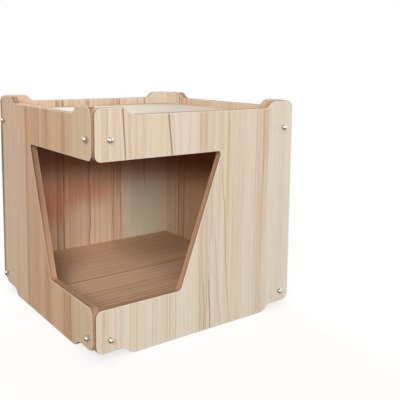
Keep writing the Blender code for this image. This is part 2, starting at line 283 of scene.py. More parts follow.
def rounded_loop(corners):
    """Points and outward normals of an anticlockwise loop whose corners (a, b, radius) are arcs.

    An arc's centre is corner + bisector * radius / sin(half the corner's angle), and its points are
    centre + radius * (cos t, sin t) with t running from one side's tangent point to the other's.
    """
    corner, radius = corners[:, :2], corners[:, 2:]
    back = turning(np.roll(corner, 1, 0) - corner)
    ahead = turning(np.roll(corner, -1, 0) - corner)
    half = np.arccos(np.clip((back * ahead).sum(1, keepdims=True), -1, 1)) / 2
    centre = corner + turning(back + ahead) * radius / np.sin(half)
    first = corner + back * radius / np.tan(half) - centre
    bends_left = np.sign(ahead[:, :1] * back[:, 1:] - ahead[:, 1:] * back[:, :1])
    turn = bends_left * (pi - 2 * half)
    angle = np.arctan2(first[:, 1:], first[:, :1]) + turn * np.linspace(0, 1, ARC_POINTS)
    ray = np.stack([np.cos(angle), np.sin(angle)], -1)
    points = centre[:, None] + radius[:, None] * ray
    return points.reshape(-1, 2), (ray * bends_left[:, None]).reshape(-1, 2)


def circle(centre, radius, count):
    """Points on a circle: centre + radius * (cos t, sin t)."""
    angle = np.arange(count) * 2 * pi / count
    return np.array(centre) + radius * np.stack([np.cos(angle), np.sin(angle)], -1)


def fill(loops):
    """Triangles across flat loops, the first round the rest, all anticlockwise."""
    flat = np.concatenate(loops)
    corners = np.array(tessellate_polygon([np.c_[loop, np.zeros(len(loop))].tolist() for loop in loops]))
    one, two = flat[corners[:, 1]] - flat[corners[:, 0]], flat[corners[:, 2]] - flat[corners[:, 0]]
    clockwise = one[:, 0] * two[:, 1] < one[:, 1] * two[:, 0]
    corners[clockwise] = corners[clockwise][:, ::-1]
    return corners


# Boards


class Face(NamedTuple):
    """A board's outer face: a point on it, the way across and up it, and the way out of it."""

    origin: np.ndarray
    across: np.ndarray
    up: np.ndarray
    out: np.ndarray

    def place(self, flat, depth):
        """Points (a, b) of the face, sunk by a depth into the board."""
        along = flat[..., :1] * self.across + flat[..., 1:] * self.up
        return self.origin + along - np.asarray(depth)[..., None] * self.out

    def direct(self, flat, outward):
        """Directions with parts (a, b) along the face and a part out of it."""
        along = flat[..., :1] * self.across + flat[..., 1:] * self.up
        return along + np.asarray(outward)[..., None] * self.out


def face_of(node, across, up):
    """The outer face of a node's box, and its half length across and up."""
    low, high = (np.array(corner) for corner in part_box(node))
    out = np.cross(across, up)
    origin = out * max(low @ out, high @ out)
    return Face(origin, across, up, out), abs((high - low) @ across) / 2, abs((high - low) @ up) / 2


ARRIS_POINTS = 5
HOLE_POINTS = 32
OUTSIDE, INSIDE, CUT_SIDE = range(3)


def edge_profile(shape, rim):
    """How a board's section runs from its outer face round its edge to its inner face.

    Returns the inset from the outline, the depth, the parts of the normal along the outline's normal
    and out of the face, and the share of the rim strip's wear and painted highlight. An arris is a
    quarter circle: inset r(1 - sin t) and depth r(1 - cos t).
    """
    t = np.linspace(0, pi / 2, ARRIS_POINTS)
    inset = np.r_[shape.arris + rim, shape.arris * (1 - np.sin(t))]
    depth = np.r_[0, shape.arris * (1 - np.cos(t))]
    side = np.r_[0, np.sin(t)]
    out = np.r_[1, np.cos(t)]
    pale_rim = np.r_[0, np.ones(ARRIS_POINTS)]
    return (
        np.r_[inset, inset[::-1]],
        np.r_[depth, shape.thickness - depth[::-1]],
        np.r_[side, side[::-1]],
        np.r_[out, -out[::-1]],
        np.r_[pale_rim, pale_rim[::-1]],
    )


def add_band(made, face, corners, profile):
    """A board's section carried round its outline, mapped along the outline and down the section.

    Returns the band's places on the face and their numbers, a row for each point of the outline.
    """
    inset, depth, side, out, pale_rim = profile
    loop, loop_normals = rounded_loop(corners)
    rows, columns = len(loop), len(inset)
    flat = loop[:, None] - loop_normals[:, None] * inset[:, None]
    points = face.place(flat, np.broadcast_to(depth, (rows, columns)))
    normals = face.direct(loop_normals[:, None] * side[:, None], np.broadcast_to(out, (rows, columns)))
    first = made.add_points(points.reshape(-1, 3), np.tile(pale_rim, rows))
    band = grid_corners(rows, columns)
    step = np.linalg.norm(np.roll(loop, -1, 0) - loop, axis=1)
    run = np.cumsum(step) - step
    u = np.stack([run, run, run + step, run + step], -1)[:, None].repeat(columns - 1, 1)
    v = np.stack([depth[:-1], depth[1:], depth[1:], depth[:-1]], -1)[None].repeat(rows, 0)
    maps = np.stack([u, v], -1).reshape(-1, 4, 2)
    normals = normals.reshape(-1, 3)[band]
    column = np.arange(len(band)) % (columns - 1)
    cut = (column > ARRIS_POINTS // 2) & (column < columns - 2 - ARRIS_POINTS // 2)
    on_outside = ~cut & (column < columns // 2)
    for chosen, finish in ((on_outside, OUTSIDE), (cut, CUT_SIDE), (~cut & ~on_outside, INSIDE)):
        made.add_faces(first + band[chosen], normals[chosen], maps[chosen], finish)
    return flat, first + np.arange(rows * columns).reshape(rows, columns)


def add_sheet(made, face, outline, numbers, rings, depth, finish):
    """A board's flat side, at a depth, with a hole at each ring. Returns the numbers of the rings' points."""
    rims = []
    for ring in rings:
        start = made.add_points(face.place(ring, np.full(len(ring), depth)))
        rims.append(start + np.arange(len(ring)))
    triangles, out = fill([outline] + rings), face.out
    if finish == INSIDE:
        triangles, out = triangles[:, ::-1], -out
    places = np.concatenate([outline] + rings)[triangles]
    made.add_faces(np.concatenate([numbers] + rims)[triangles], out, places, finish)
    return rims


def board_piece(name, face, corners, holes, shape, rim, finishes, pilots=()):
    """A board: its section carried round its outline, both sides filled, and its holes bored.

    Holes go through the board, and pilots go into its inner side only.
    """
    made = Patchwork()
    flat, numbers = add_band(made, face, corners, edge_profile(shape, rim))
    through = [circle(hole, shape.hole_radius, HOLE_POINTS) for hole in holes]
    blind = [circle(pilot, shape.pilot_radius, HOLE_POINTS) for pilot in pilots]
    rings = through + blind
    outer_rims = add_sheet(made, face, flat[:, 0], numbers[:, 0], through, 0.0, OUTSIDE)
    inner_rims = add_sheet(made, face, flat[:, -1], numbers[:, -1], rings, shape.thickness, INSIDE)
    for ring in blind:
        end = face.place(ring, np.full(len(ring), shape.thickness - shape.pilot_depth))
        start = made.add_points(end)
        outer_rims.append(start + np.arange(len(ring)))
        bottom = fill([ring])[:, ::-1]
        made.add_faces(start + bottom, -face.out, ring[bottom], CUT_SIDE)
    for ring, outer, inner in zip(rings, outer_rims, inner_rims):
        add_bore(made, face, ring, outer, inner, shape.thickness)
    return made.piece(name, finishes)


def add_bore(made, face, ring, outer, inner, depth):
    """The wall of a round hole, between its rims in the two faces, with a map of 1 mm for each quad."""
    ahead = np.roll(np.arange(len(ring)), -1)
    corners = np.stack([outer, outer[ahead], inner[ahead], inner], -1)
    ray = turning(ring.mean(0) - ring)
    normals = face.direct(ray, np.zeros(len(ray)))
    turn = np.arange(len(ring)) * MM
    places = np.stack([turn, turn + MM, turn + MM, turn], -1)
    across = np.broadcast_to([0, 0, depth, depth], places.shape)
    corner_normals = np.stack([normals, normals[ahead], normals[ahead], normals], 1)
    made.add_faces(corners, corner_normals, np.stack([places, across], -1), CUT_SIDE)


def ear_curve(shape):
    """Where an ear's slope turns, from the wall's end, and the radius of its two equal arcs.

    Two arcs of radius (s^2 + h^2) / 4h join a flat to the rim over a slope s and a rise h, and their
    corners lie (s^2 + h^2) / 4s inside the slope's ends.
    """
    square = shape.ear_slope**2 + shape.ear_rise**2
    inside = square / (4 * shape.ear_slope)
    high = shape.ear_length + inside
    return high, shape.ear_length + shape.ear_slope - inside, square / (4 * shape.ear_rise)


def wall_corners(shape, end, window_end):
    """Corners (across, up, radius) of a wall's outline, anticlockwise from the lower left ear."""
    high, low, bend = ear_curve(shape)
    rim = WALL_HIGH.z - shape.ear_rise
    lintel = rim - shape.lintel_depth
    lower = [
        (-end, shape.ear_rise, shape.ear_corner),
        (high - end, shape.ear_rise, bend),
        (low - end, 0.0, bend),
        (end - low, 0.0, bend),
        (end - high, shape.ear_rise, bend),
        (end, shape.ear_rise, shape.ear_corner),
    ]
    upper = [(-across, rim + up, radius) for across, up, radius in lower]
    window = [
        (-end, lintel, shape.rail_corner),
        (shape.lintel_reach - end, lintel, shape.lintel_corner),
        (shape.sill_reach - end, shape.sill_height, shape.sill_corner),
        (-end, shape.sill_height, shape.rail_corner),
    ]
    if window_end == "left":
        return np.array(lower + upper + window)
    if window_end == "right":
        mirrored = [(-across, up, radius) for across, up, radius in reversed(window)]
        return np.array(lower + mirrored + upper)
    return np.array(lower + upper)


# Turned pieces


class Spindle(NamedTuple):
    """A turned piece's foot and its axes, the last of them along its length."""

    foot: np.ndarray
    side: np.ndarray
    ahead: np.ndarray
    axis: np.ndarray

    def place(self, points):
        return self.foot + points @ np.array([self.side, self.ahead, self.axis])


def spindle_of(node, axis, turn):
    """The spindle that a node's box gives for an axis, with its side turned about it."""
    low, high = (np.array(corner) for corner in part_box(node))
    foot = (low + high) / 2
    foot += axis * (min(low @ axis, high @ axis) - foot @ axis)
    side = Z_AXIS if abs(axis[2]) < 0.5 else X_AXIS
    ahead = np.cross(axis, side)
    return Spindle(foot, cos(turn) * side + sin(turn) * ahead, cos(turn) * ahead - sin(turn) * side, axis)


def reach_of(node, axis):
    """Length of a node's box along an axis."""
    low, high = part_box(node)
    return abs(np.array(high - low) @ axis)


def cylinder_points(radius, angle, height):
    """Points from radius, angle and height arrays that broadcast together."""
    radius, angle, height = np.broadcast_arrays(radius, angle, height)
    return np.stack([radius * np.cos(angle), radius * np.sin(angle), height], -1)


def sleeve_faces(rows, columns, first):
    """Quads between rings of points whose numbers start at first, each ring closed."""
    row = np.arange(rows - 1)[:, None] * columns
    here = np.arange(columns)
    ahead = (here + 1) % columns
    corners = np.stack([row + here, row + ahead, row + columns + ahead, row + columns + here], -1)
    return first + corners.reshape(-1, 4)


def fan_faces(pole, ring, closes_end):
    """Triangles between a pole and a ring of point numbers."""
    ahead = np.roll(ring, -1)
    tip = np.full(len(ring), pole)
    return np.stack([ring, ahead, tip] if closes_end else [tip, ahead, ring], -1)


def turned_piece(name, points, faces, finish, crease):
    """A smooth piece from groups of faces, sharp where they meet at more than the crease in degrees."""
    mesh = bpy.data.meshes.new(name)
    mesh.from_pydata(points.tolist(), [], [face for group in faces for face in group.tolist()])
    mesh.materials.append(finish)
    mesh.shade_smooth()
    mesh.set_sharp_from_angle(angle=radians(crease))
    return add_piece(name, mesh)


NUT_POINTS = 72
DOME_POINTS = 12
NUT_CHAMFER = 0.3 * MM
DOME_FILLET = 0.12 * MM
SHOULDER_SHARE = 0.95  # of half the flats
FOOT_SHARE = 0.6  # of the upper chamfer's fall
BORE_SLACK = 1.02  # of the bolt's radius
BORE_CONE = 0.5  # of the bore's radius
NUT_CREASE = 25  # degrees


def cap_nut_piece(node, axis, turn, shape, finish):
    """A cap nut, as rings from the end of its bore, out over its foot and flats, to its dome's top.

    A flat's distance from the axis is half the flats / cos(angle from the flat's middle), and a 30
    degree chamfer meets it at height = top - (that distance - chamfer's inner radius) * tan(30).
    """
    angle = np.arange(NUT_POINTS) * 2 * pi / NUT_POINTS
    flat = shape.nut_flats / 2
    hexagon = flat / np.cos((angle + pi / 6) % (pi / 3) - pi / 6)
    shoulder = flat * SHOULDER_SHARE
    fall = (hexagon - shoulder) * np.tan(pi / 6)
    bore = shape.bolt_radius * BORE_SLACK
    top = shape.nut_hexagon
    rings = [
        (bore, shape.nut_bore - bore * BORE_CONE),
        (bore, NUT_CHAMFER),
        (bore + NUT_CHAMFER, 0.0),
        (shoulder, 0.0),
        (hexagon, fall * FOOT_SHARE),
        (hexagon, top - fall),
        (shoulder, top),
        (shape.nut_dome + DOME_FILLET, top),
        (shape.nut_dome, top + DOME_FILLET),
    ]
    length_along = reach_of(node, axis)
    rise = np.linspace(0, pi / 2, DOME_POINTS)[1:-1]
    dome = length_along - top - DOME_FILLET
    rings += [(shape.nut_dome * cos(t), top + DOME_FILLET + dome * sin(t)) for t in rise]
    grid = np.stack([cylinder_points(radius, angle, height) for radius, height in rings])
    points = np.concatenate([grid.reshape(-1, 3), [(0, 0, shape.nut_bore), (0, 0, length_along)]])
    count = len(rings) * NUT_POINTS
    faces = (
        sleeve_faces(len(rings), NUT_POINTS, 0),
        fan_faces(count, np.arange(NUT_POINTS), False),
        fan_faces(count + 1, np.arange(count - NUT_POINTS, count), True),
    )
    spindle = spindle_of(node, axis, turn)
    return turned_piece(node + "_domed", spindle.place(points), faces, finish, NUT_CREASE)


# The cross, as shares of the recessed face's radius: an arm's half width and reach, each with its slope's end
SLOT = (0.13, 0.18)
REACH = (0.58, 0.64)
FACE_RING = 0.85


def recessed_face(radius, rise, depth):
    """A head's face with a cross sunk into it, on a square grid drawn out to a disc.

    A grid place (u, v) goes to (u sqrt(1 - v^2 / 2), v sqrt(1 - u^2 / 2)), and the face lies at rise * r^2,
    plus the depth where one of |u|, |v| is within the slot's half width and the other within its reach.
    Returns the points, the faces and the numbers of the rim's points, anticlockwise.
    """
    half = np.array([*SLOT, *REACH, FACE_RING, 1.0])
    line = np.r_[-half[::-1], half]
    count = len(line)
    u, v = np.meshgrid(line, line, indexing="ij")
    x, y = u * np.sqrt(1 - v**2 / 2), v * np.sqrt(1 - u**2 / 2)

    def within(value, inner, outer):
        return np.clip((outer - abs(value)) / (outer - inner), 0, 1)

    arm = within(u, *SLOT) * within(v, *REACH)
    sunk = np.maximum(arm, arm.T) * depth
    points = np.stack([x * radius, y * radius, rise * (x**2 + y**2) + sunk], -1).reshape(-1, 3)
    number = np.arange(count * count).reshape(count, count)
    faces = np.stack([number[:-1, :-1], number[:-1, 1:], number[1:, 1:], number[1:, :-1]], -1).reshape(-1, 4)
    rim = np.r_[number[:-1, 0], number[-1, :-1], number[:0:-1, -1], number[0, :0:-1]]
    return points, faces, rim


ROUND_POINTS = 5
THREAD_STEPS = 6
FACE_SHARE = 0.78  # of a head's radius
FACE_RISE = 0.12  # of a head's height, like the next two
RECESS_DEPTH = 0.55
HEAD_EDGE = 0.03
POINT_CURVE = 0.6
SCREW_CREASE = 35  # degrees


class Fastener(NamedTuple):
    """Sizes of a bolt or a screw, from its head to its point."""

    head: float
    head_height: float
    shank: float
    pitch: float
    depth: float
    point: float


def threaded_piece(node, axis, turn, sizes, finish):
    """A bolt or screw, from its head's recessed face to its tip.

    The thread's radius is mean + half depth * cos(2 pi * height / pitch - angle), tapered out at both
    ends, and the whole shank narrows to the tip over the point's length.
    """
    radius, height, shank, pitch, depth, point = sizes
    inner = radius * FACE_SHARE
    rise = height * FACE_RISE
    points, faces, rim = recessed_face(inner, rise, height * RECESS_DEPTH)
    angle = np.arctan2(points[rim, 1], points[rim, 0])
    t = np.linspace(0, pi / 2, ROUND_POINTS)[1:]
    bend = radius - inner
    rings = [(inner + bend * sin(s), rise + bend * (1 - cos(s))) for s in t]
    edge = height * HEAD_EDGE
    rings += [(radius, height - edge), (radius - edge, height), (shank, height)]
    tip = reach_of(node, axis)
    steps = int((tip - height) / pitch * THREAD_STEPS)
    along = np.linspace(height, tip, steps + 2)[1:-1]
    ends = np.clip(np.minimum(along - height, tip - along) / pitch, 0, 1)
    narrow = np.clip((tip - along) / point, 0.0, 1.0) ** POINT_CURVE
    wave = np.cos(2 * pi * along[:, None] / pitch - angle)
    thread = (shank - depth / 2 + depth / 2 * ends[:, None] * wave) * narrow[:, None]
    grid = [cylinder_points(ring, angle, level) for ring, level in rings]
    grid = np.concatenate([np.stack(grid), cylinder_points(thread, angle, along[:, None])])
    rows, columns = grid.shape[:2]
    first = len(points)
    here = np.arange(columns)
    bridge = np.stack([rim, np.roll(rim, -1), first + np.roll(here, -1), first + here], -1)
    last = first + (rows - 1) * columns
    faces = (
        faces,
        bridge,
        sleeve_faces(rows, columns, first),
        fan_faces(first + rows * columns, last + here, True),
    )
    points = np.concatenate([points, grid.reshape(-1, 3), [(0, 0, tip)]])
    spindle = spindle_of(node, axis, turn)
    return turned_piece(node + "_threaded", spindle.place(points), faces, finish, SCREW_CREASE)


# Node trees


class Tree:
    """A node tree being filled. Inputs are sockets to join or values to set, a colour as three numbers."""

    def __init__(self, tree):
        self.tree = tree

    def fill(self, node, inputs):
        for key, value in dict(inputs).items():
            socket = node.inputs[key]
            if isinstance(value, bpy.types.NodeSocket):
                self.tree.links.new(value, socket)
            elif socket.type == "RGBA":
                socket.default_value = (*value, 1.0)
            else:
                socket.default_value = value

    def add(self, kind, inputs=(), **settings):
        node = self.tree.nodes.new(kind)
        for key, value in settings.items():
            setattr(node, key, value)
        self.fill(node, inputs)
        return node

    def group(self, effect, inputs):
        return self.add("ShaderNodeGroup", inputs, node_tree=effect).outputs

    def math(self, operation, *values, clamp=False):
        return self.add("ShaderNodeMath", enumerate(values), operation=operation, use_clamp=clamp).outputs[0]

    def times(self, product, *values):
        """The product of all the values."""
        for value in values:
            product = self.math("MULTIPLY", product, value)
        return product

    def plus(self, one, two, clamp=False):
        return self.math("ADD", one, two, clamp=clamp)

    def minus(self, one, two):
        return self.math("SUBTRACT", one, two)

    def smooth(self, value, start, end, low=0.0, high=1.0):
        """Value's smooth step from start to end, between low and high."""
        inputs = {"Value": value, "From Min": start, "From Max": end, "To Min": low, "To Max": high}
        return self.add("ShaderNodeMapRange", inputs, interpolation_type="SMOOTHSTEP").outputs["Result"]

    def mix(self, factor, one, two, blend="MIX"):
        """Two colours mixed by a factor."""
        inputs = {0: factor, 6: one, 7: two}
        node = self.add("ShaderNodeMix", inputs, data_type="RGBA", blend_type=blend, clamp_factor=True)
        return node.outputs[2]

    def noise(self, vector, scale, detail=2.0, roughness=0.5):
        inputs = {"Vector": vector, "Scale": scale, "Detail": detail, "Roughness": roughness}
        return self.add("ShaderNodeTexNoise", inputs).outputs["Fac"]

    def stretch(self, vector, scale, offset=(0.0, 0.0, 0.0)):
        """The vector times a scale for each axis, plus an offset."""
        inputs = {"Vector": vector, "Scale": scale, "Location": offset}
        return self.add("ShaderNodeMapping", inputs).outputs[0]

    def split(self, vector):
        return self.add("ShaderNodeSeparateXYZ", {"Vector": vector}).outputs

    def place(self):
        """The surface's own coordinates."""
        return self.add("ShaderNodeTexCoord").outputs["Object"]

    def bump(self, height, distance, strength):
        inputs = {"Height": height, "Distance": distance, "Strength": strength}
        return self.add("ShaderNodeBump", inputs).outputs[0]


def new_group(name, colours, numbers, outputs):
    """A shader node group's tree, its inputs and its outputs' node.

    It takes a vector, colours and numbers. Its outputs are numbers, apart from the one named Color.
    """
    group = bpy.data.node_groups.new(name, "ShaderNodeTree")
    sockets = [("Vector", "Vector")]
    sockets += [(title, "Color") for title in colours.split()]
    sockets += [(title, "Float") for title in numbers.split()]
    for title, kind in sockets:
        group.interface.new_socket(title, in_out="INPUT", socket_type="NodeSocket" + kind)
    for title in outputs.split():
        kind = "Color" if title == "Color" else "Float"
        group.interface.new_socket(title, in_out="OUTPUT", socket_type="NodeSocket" + kind)
    tree = Tree(group)
    return tree, tree.add("NodeGroupInput").outputs, tree.add("NodeGroupOutput")


def made_once(make):
    """The node group that a function makes, kept after its first call."""

    def kept():
        if make.__name__ not in bpy.data.node_groups:
            make(make.__name__)
        return bpy.data.node_groups[make.__name__]

    return kept


class Field(NamedTuple):
    """A noise of the print: its cells for each metre across and along the grain, its shift and its detail."""

    across: float
    along: float
    shift: float = 0.0
    detail: float = 1.0


class Step(NamedTuple):
    """A smooth step: the values where it starts and ends, and what it gives there."""

    start: float
    end: float
    low: float = 0.0
    high: float = 1.0


# The print's broad tones, each laid over the ones before it
BROAD_TONES = (
    ("Rose", Field(34.0, 0.5), Step(0.40, 0.62)),
    ("Moss", Field(23.0, 0.5, 40.0), Step(0.50, 0.66)),
    ("Chalk", Field(17.0, 0.6, 80.0), Step(0.54, 0.72, high=0.7)),
)

# Growth rings, for each metre across, and how many rings their bends move them by
RINGS = 150.0
RING_SWING = 9.0
RING_BENDS = Field(22.0, 0.5, 20.0)
RING_RISE, RING_FALL = Step(0.2, 0.92), Step(1.0, 0.94)
RING_PATCHES, RING_PATCHY = Field(26.0, 0.8, 60.0), Step(0.38, 0.68, 0.15, 1.0)
RING_SHARE = 0.17
RING_RELIEF = 0.3

# Strands darken the print on one side of their middle value and make it paler on the other
STRANDS = Field(210.0, 1.6, 11.0, 2.0)
STRAND_DARK, STRAND_PALE = Step(0.50, 0.74, high=0.19), Step(0.48, 0.28, high=0.45)
HAIRS, HAIR_DARK = Field(900.0, 6.0, 0.0, 2.0), Step(0.42, 0.78)
HAIR_SHARE = 0.20
HAIR_RELIEF = 0.4

# Thin dark lines, in patches
CONTOURS = 6.0
CONTOUR_BENDS, CONTOUR_EDGE = Field(30.0, 1.0, 3.0, 0.0), Step(0.05, 0.0)
CONTOUR_PATCHES, CONTOUR_PATCHY = Field(20.0, 2.0, 9.0), Step(0.50, 0.62)

STREAK_PATCHES, STREAK_PATCHY = Field(160.0, 12.0), Step(0.2, 0.6, 0.6, 1.0)
DRIFT_CELLS = (6.0, 6.0, 5.0)
DRIFT_REACH = 12 * MM
DEPTH_CELLS = 6.0
SEED_STEP = 7.31  # cells between one board's print and the next


@made_once
def wood_print(name):
    """Straight grain across x and along z: broad tones, growth rings, fibres and thin dark lines.

    A growth ring darkens slowly across its width and ends sharply, and the dark lines are where a
    field stretched along the grain, times the contours, is halfway between two whole numbers.
    """
    outputs = "Color Height Dull Patchy"
    tree, given, made = new_group(name, "Cream Rose Moss Chalk Line", "Seed Lines", outputs)
    place = tree.split(given["Vector"])
    seed = tree.times(given["Seed"], SEED_STEP)
    depth = tree.plus(tree.times(place[1], DEPTH_CELLS), seed)
    drift = tree.noise(tree.stretch(given["Vector"], DRIFT_CELLS), 1.0, 1.0)
    across = tree.plus(place[0], tree.times(tree.minus(drift, 0.5), DRIFT_REACH))
    grain = tree.add("ShaderNodeCombineXYZ", {"X": across, "Y": depth, "Z": place[2]}).outputs[0]

    def noise(field):
        scale = (field.across, 1.0, field.along)
        return tree.noise(tree.stretch(grain, scale, (field.shift, field.shift, 0.0)), 1.0, field.detail)

    base = given["Cream"]
    for tint, field, step in BROAD_TONES:
        base = tree.mix(tree.smooth(noise(field), *step), base, given[tint])
    swing = tree.times(noise(RING_BENDS), RING_SWING)
    ring = tree.math("FRACT", tree.math("MULTIPLY_ADD", across, RINGS, swing))
    late = tree.times(tree.smooth(ring, *RING_RISE), tree.smooth(ring, *RING_FALL))
    late = tree.times(late, tree.smooth(noise(RING_PATCHES), *RING_PATCHY))
    base = tree.mix(tree.times(late, RING_SHARE), base, given["Line"])
    strands = noise(STRANDS)
    base = tree.mix(tree.smooth(strands, *STRAND_DARK), base, given["Line"])
    base = tree.mix(tree.smooth(strands, *STRAND_PALE), base, given["Chalk"])
    hairs = noise(HAIRS)
    hair = tree.smooth(hairs, *HAIR_DARK)
    base = tree.mix(tree.times(hair, HAIR_SHARE), base, given["Line"])
    turns = tree.math("FRACT", tree.times(noise(CONTOUR_BENDS), CONTOURS))
    line = tree.smooth(tree.math("ABSOLUTE", tree.minus(turns, 0.5)), *CONTOUR_EDGE)
    line = tree.times(line, tree.smooth(noise(CONTOUR_PATCHES), *CONTOUR_PATCHY), given["Lines"])
    base = tree.mix(line, base, given["Line"])
    dark = tree.math("MULTIPLY_ADD", hair, HAIR_RELIEF, line)
    dark = tree.math("MULTIPLY_ADD", late, RING_RELIEF, dark)
    patchy = tree.smooth(noise(STREAK_PATCHES), *STREAK_PATCHY)
    tree.fill(made, {"Color": base, "Height": tree.minus(1.0, dark), "Dull": hairs, "Patchy": patchy})


# A streak's two waves: radians for each metre up, and for each metre that it lies across
LONG_WAVE = (37.0, 900.0)
SHORT_WAVE = (101.0, 2300.0)


@made_once
def print_streak(name):
    """One streak of the print: a soft line at a place across the grain that leans, wanders and fades.

    Its middle is at + lean * height + wander * (long wave + short wave / 2), each wave a sine of the
    height and of the place, and its strength falls by smooth steps to both sides and to its two ends.
    """
    numbers = "Patchy Strength At Lean Width Blur Low High Fade Wander"
    tree, given, made = new_group(name, "Color Tint", numbers, "Color")
    place = tree.split(given["Vector"])

    def wave(along, shift):
        return tree.math("SINE", tree.math("MULTIPLY_ADD", place[2], along, tree.times(given["At"], shift)))

    waves = tree.math("MULTIPLY_ADD", wave(*SHORT_WAVE), 0.5, wave(*LONG_WAVE))
    middle = tree.math("MULTIPLY_ADD", given["Lean"], place[2], given["At"])
    middle = tree.math("MULTIPLY_ADD", given["Wander"], waves, middle)
    away = tree.math("ABSOLUTE", tree.minus(place[0], middle))
    outer, inner = tree.plus(given["Width"], given["Blur"]), tree.minus(given["Width"], given["Blur"])
    rise = tree.smooth(place[2], given["Low"], tree.plus(given["Low"], given["Fade"]))
    fall = tree.smooth(place[2], given["High"], tree.minus(given["High"], given["Fade"]))
    line = tree.times(tree.smooth(away, outer, inner), rise, fall, given["Strength"], given["Patchy"])
    tree.fill(made, {"Color": tree.mix(line, given["Color"], given["Tint"])})


RIM_CELLS = 260.0
RIM_PATCHY = Step(0.25, 0.6, 0.5, 1.0)
RIM_SHARPNESS = 5.0


@made_once
def handled_rim(name):
    """Wear and a painted highlight along a board's edge: paler at the arris, where hands rub it, broken up by
    noise.
    """
    tree, given, made = new_group(name, "Color Pale", "Rim Amount", "Color")
    patches = tree.noise(given["Vector"], RIM_CELLS, detail=3.0, roughness=0.6)
    near = tree.math("POWER", tree.math("MAXIMUM", given["Rim"], 0.0), RIM_SHARPNESS)
    # painted highlight and wear: paler close to the arris
    pale_rim = tree.times(near, tree.smooth(patches, *RIM_PATCHY), given["Amount"])
    tree.fill(made, {"Color": tree.mix(pale_rim, given["Color"], given["Pale"])})


CLOUD_CELLS, CLOUD_DEEP = 420.0, Step(0.35, 0.7)
SCRATCH_CELLS = (900.0, 900.0, 5200.0)
CLOUD_DULL, SCRATCH_DULL = 0.6, 0.4
DULL_START, DULL_END = 0.3, 0.7


@made_once
def plated_metal(name):
    """A plating's soft clouds, fine scratches round the piece and dull patches."""
    tree, given, made = new_group(name, "Bright Deep", "Smooth Rough", "Color Roughness Height")
    clouds = tree.noise(given["Vector"], CLOUD_CELLS, detail=3.0, roughness=0.6)
    stretched = tree.stretch(given["Vector"], SCRATCH_CELLS)
    scratches = tree.noise(stretched, 1.0, detail=3.0, roughness=0.7)
    shown = tree.mix(tree.smooth(clouds, *CLOUD_DEEP), given["Bright"], given["Deep"])
    dull = tree.plus(tree.times(clouds, CLOUD_DULL), tree.times(scratches, SCRATCH_DULL))
    rough = tree.smooth(dull, DULL_START, DULL_END, given["Smooth"], given["Rough"])
    tree.fill(made, {"Color": shown, "Roughness": rough, "Height": scratches})


# Materials


def new_material(name):
    """An empty material, its tree and its shader."""
    made = bpy.data.materials.new(name)
    made.use_nodes = True
    return made, Tree(made.node_tree), made.node_tree.nodes["Principled BSDF"]


def grain_turn(across, along):
    """Euler angles that turn a board's grain to run along z, with the way across it along x."""
    return Matrix((across, np.cross(along, across), along)).to_euler()


class Streak(NamedTuple):
    """A streak of a board's print, in millimetres: where it is at height 0, and half its width.

    It fades in above low and out below high, and its sides are soft over the blur.
    """

    at: float
    width: float
    tint: str
    strength: float
    lean: float = 0.0  # sideways for each millimetre up
    low: float = -430
    high: float = 430
    fade: float = 30
    wander: float = 0.5
    blur: float = 4


BLUR_LIMIT = 0.6  # of half a streak's width


def tinted(tint, *places, **options):
    """Streaks of one tint and with the same options, each place being (at, width, strength)."""
    return tuple(Streak(at, width, tint, strength, **options) for at, width, strength in places)


# Painted shade darkens a room's sheet with height, and its tones end within this of the roof
PAINTED_ROOM_SHADE = Step(165 * MM, 245 * MM, high=0.85)
ROOM_END = 4 * MM
# Less of the tan's painted warm shade above the roof
TAN_ABOVE_ROOF = 0.4

CONTOUR_SHARE = 0.3
# How strongly wear and the painted highlight pale the arris
RIM_WEAR_AND_HIGHLIGHT = 0.75
SHEET_DULL = Step(0.2, 0.8, 0.50, 0.64)
SHEET_SHINE = 0.2
EMBOSSING = 0.1 * MM


def laminate(name, turn, seed, streaks, tan=0.0, roof=None):
    """Printed laminate whose grain follows the turn, with the board's own streaks on top.

    The tan share says how far the sheet is towards the warmer tone, partly its own and partly painted
    shade. A roof's height is given for a sheet inside the room: painted shade darkens it high in the room,
    and it is less warm above the roof.
    """
    look = bpy.context.scene.cat_house_print
    made, tree, shader = new_material(name)
    place = tree.add("ShaderNodeMapping", {"Vector": tree.place(), "Rotation": turn}).outputs[0]
    inputs = {"Vector": place, "Seed": seed, "Lines": CONTOUR_SHARE, "Line": look.umber}
    for tint in ("cream", "rose", "moss", "chalk"):
        inputs[tint.capitalize()] = getattr(look, tint)
    wood = tree.group(wood_print(), inputs)
    shown = wood["Color"]
    for streak in streaks:
        shown = add_streak(tree, shown, place, wood["Patchy"], streak, look)
    if roof:
        height = tree.split(tree.place())[2]
        room = tree.smooth(height, roof + ROOM_END, roof - ROOM_END)
        # painted shade: walnut laid over the room's sheet, darker high in the room
        dark = tree.times(tree.smooth(height, *PAINTED_ROOM_SHADE), room)
        shown = tree.mix(dark, shown, look.walnut)
        tan = tree.math("MULTIPLY_ADD", room, tan - TAN_ABOVE_ROOF, TAN_ABOVE_ROOF)
    # the warmer tone: partly the sheet's own, partly painted shade
    if tan:
        shown = tree.mix(tan, shown, tree.mix(1.0, shown, look.tan, "MULTIPLY"))
    rim = tree.add("ShaderNodeAttribute", attribute_name="rim").outputs["Fac"]
    # chalk is also the colour of the painted highlight at the arris
    inputs = {"Color": shown, "Vector": place, "Rim": rim, "Pale": look.chalk, "Amount": RIM_WEAR_AND_HIGHLIGHT}
    finish = {
        "Base Color": tree.group(handled_rim(), inputs)["Color"],
        "Roughness": tree.smooth(wood["Dull"], *SHEET_DULL),
        "Specular IOR Level": SHEET_SHINE,
        "Normal": tree.bump(wood["Height"], EMBOSSING, strength=0.4),
    }
    tree.fill(shader, finish)
    return made


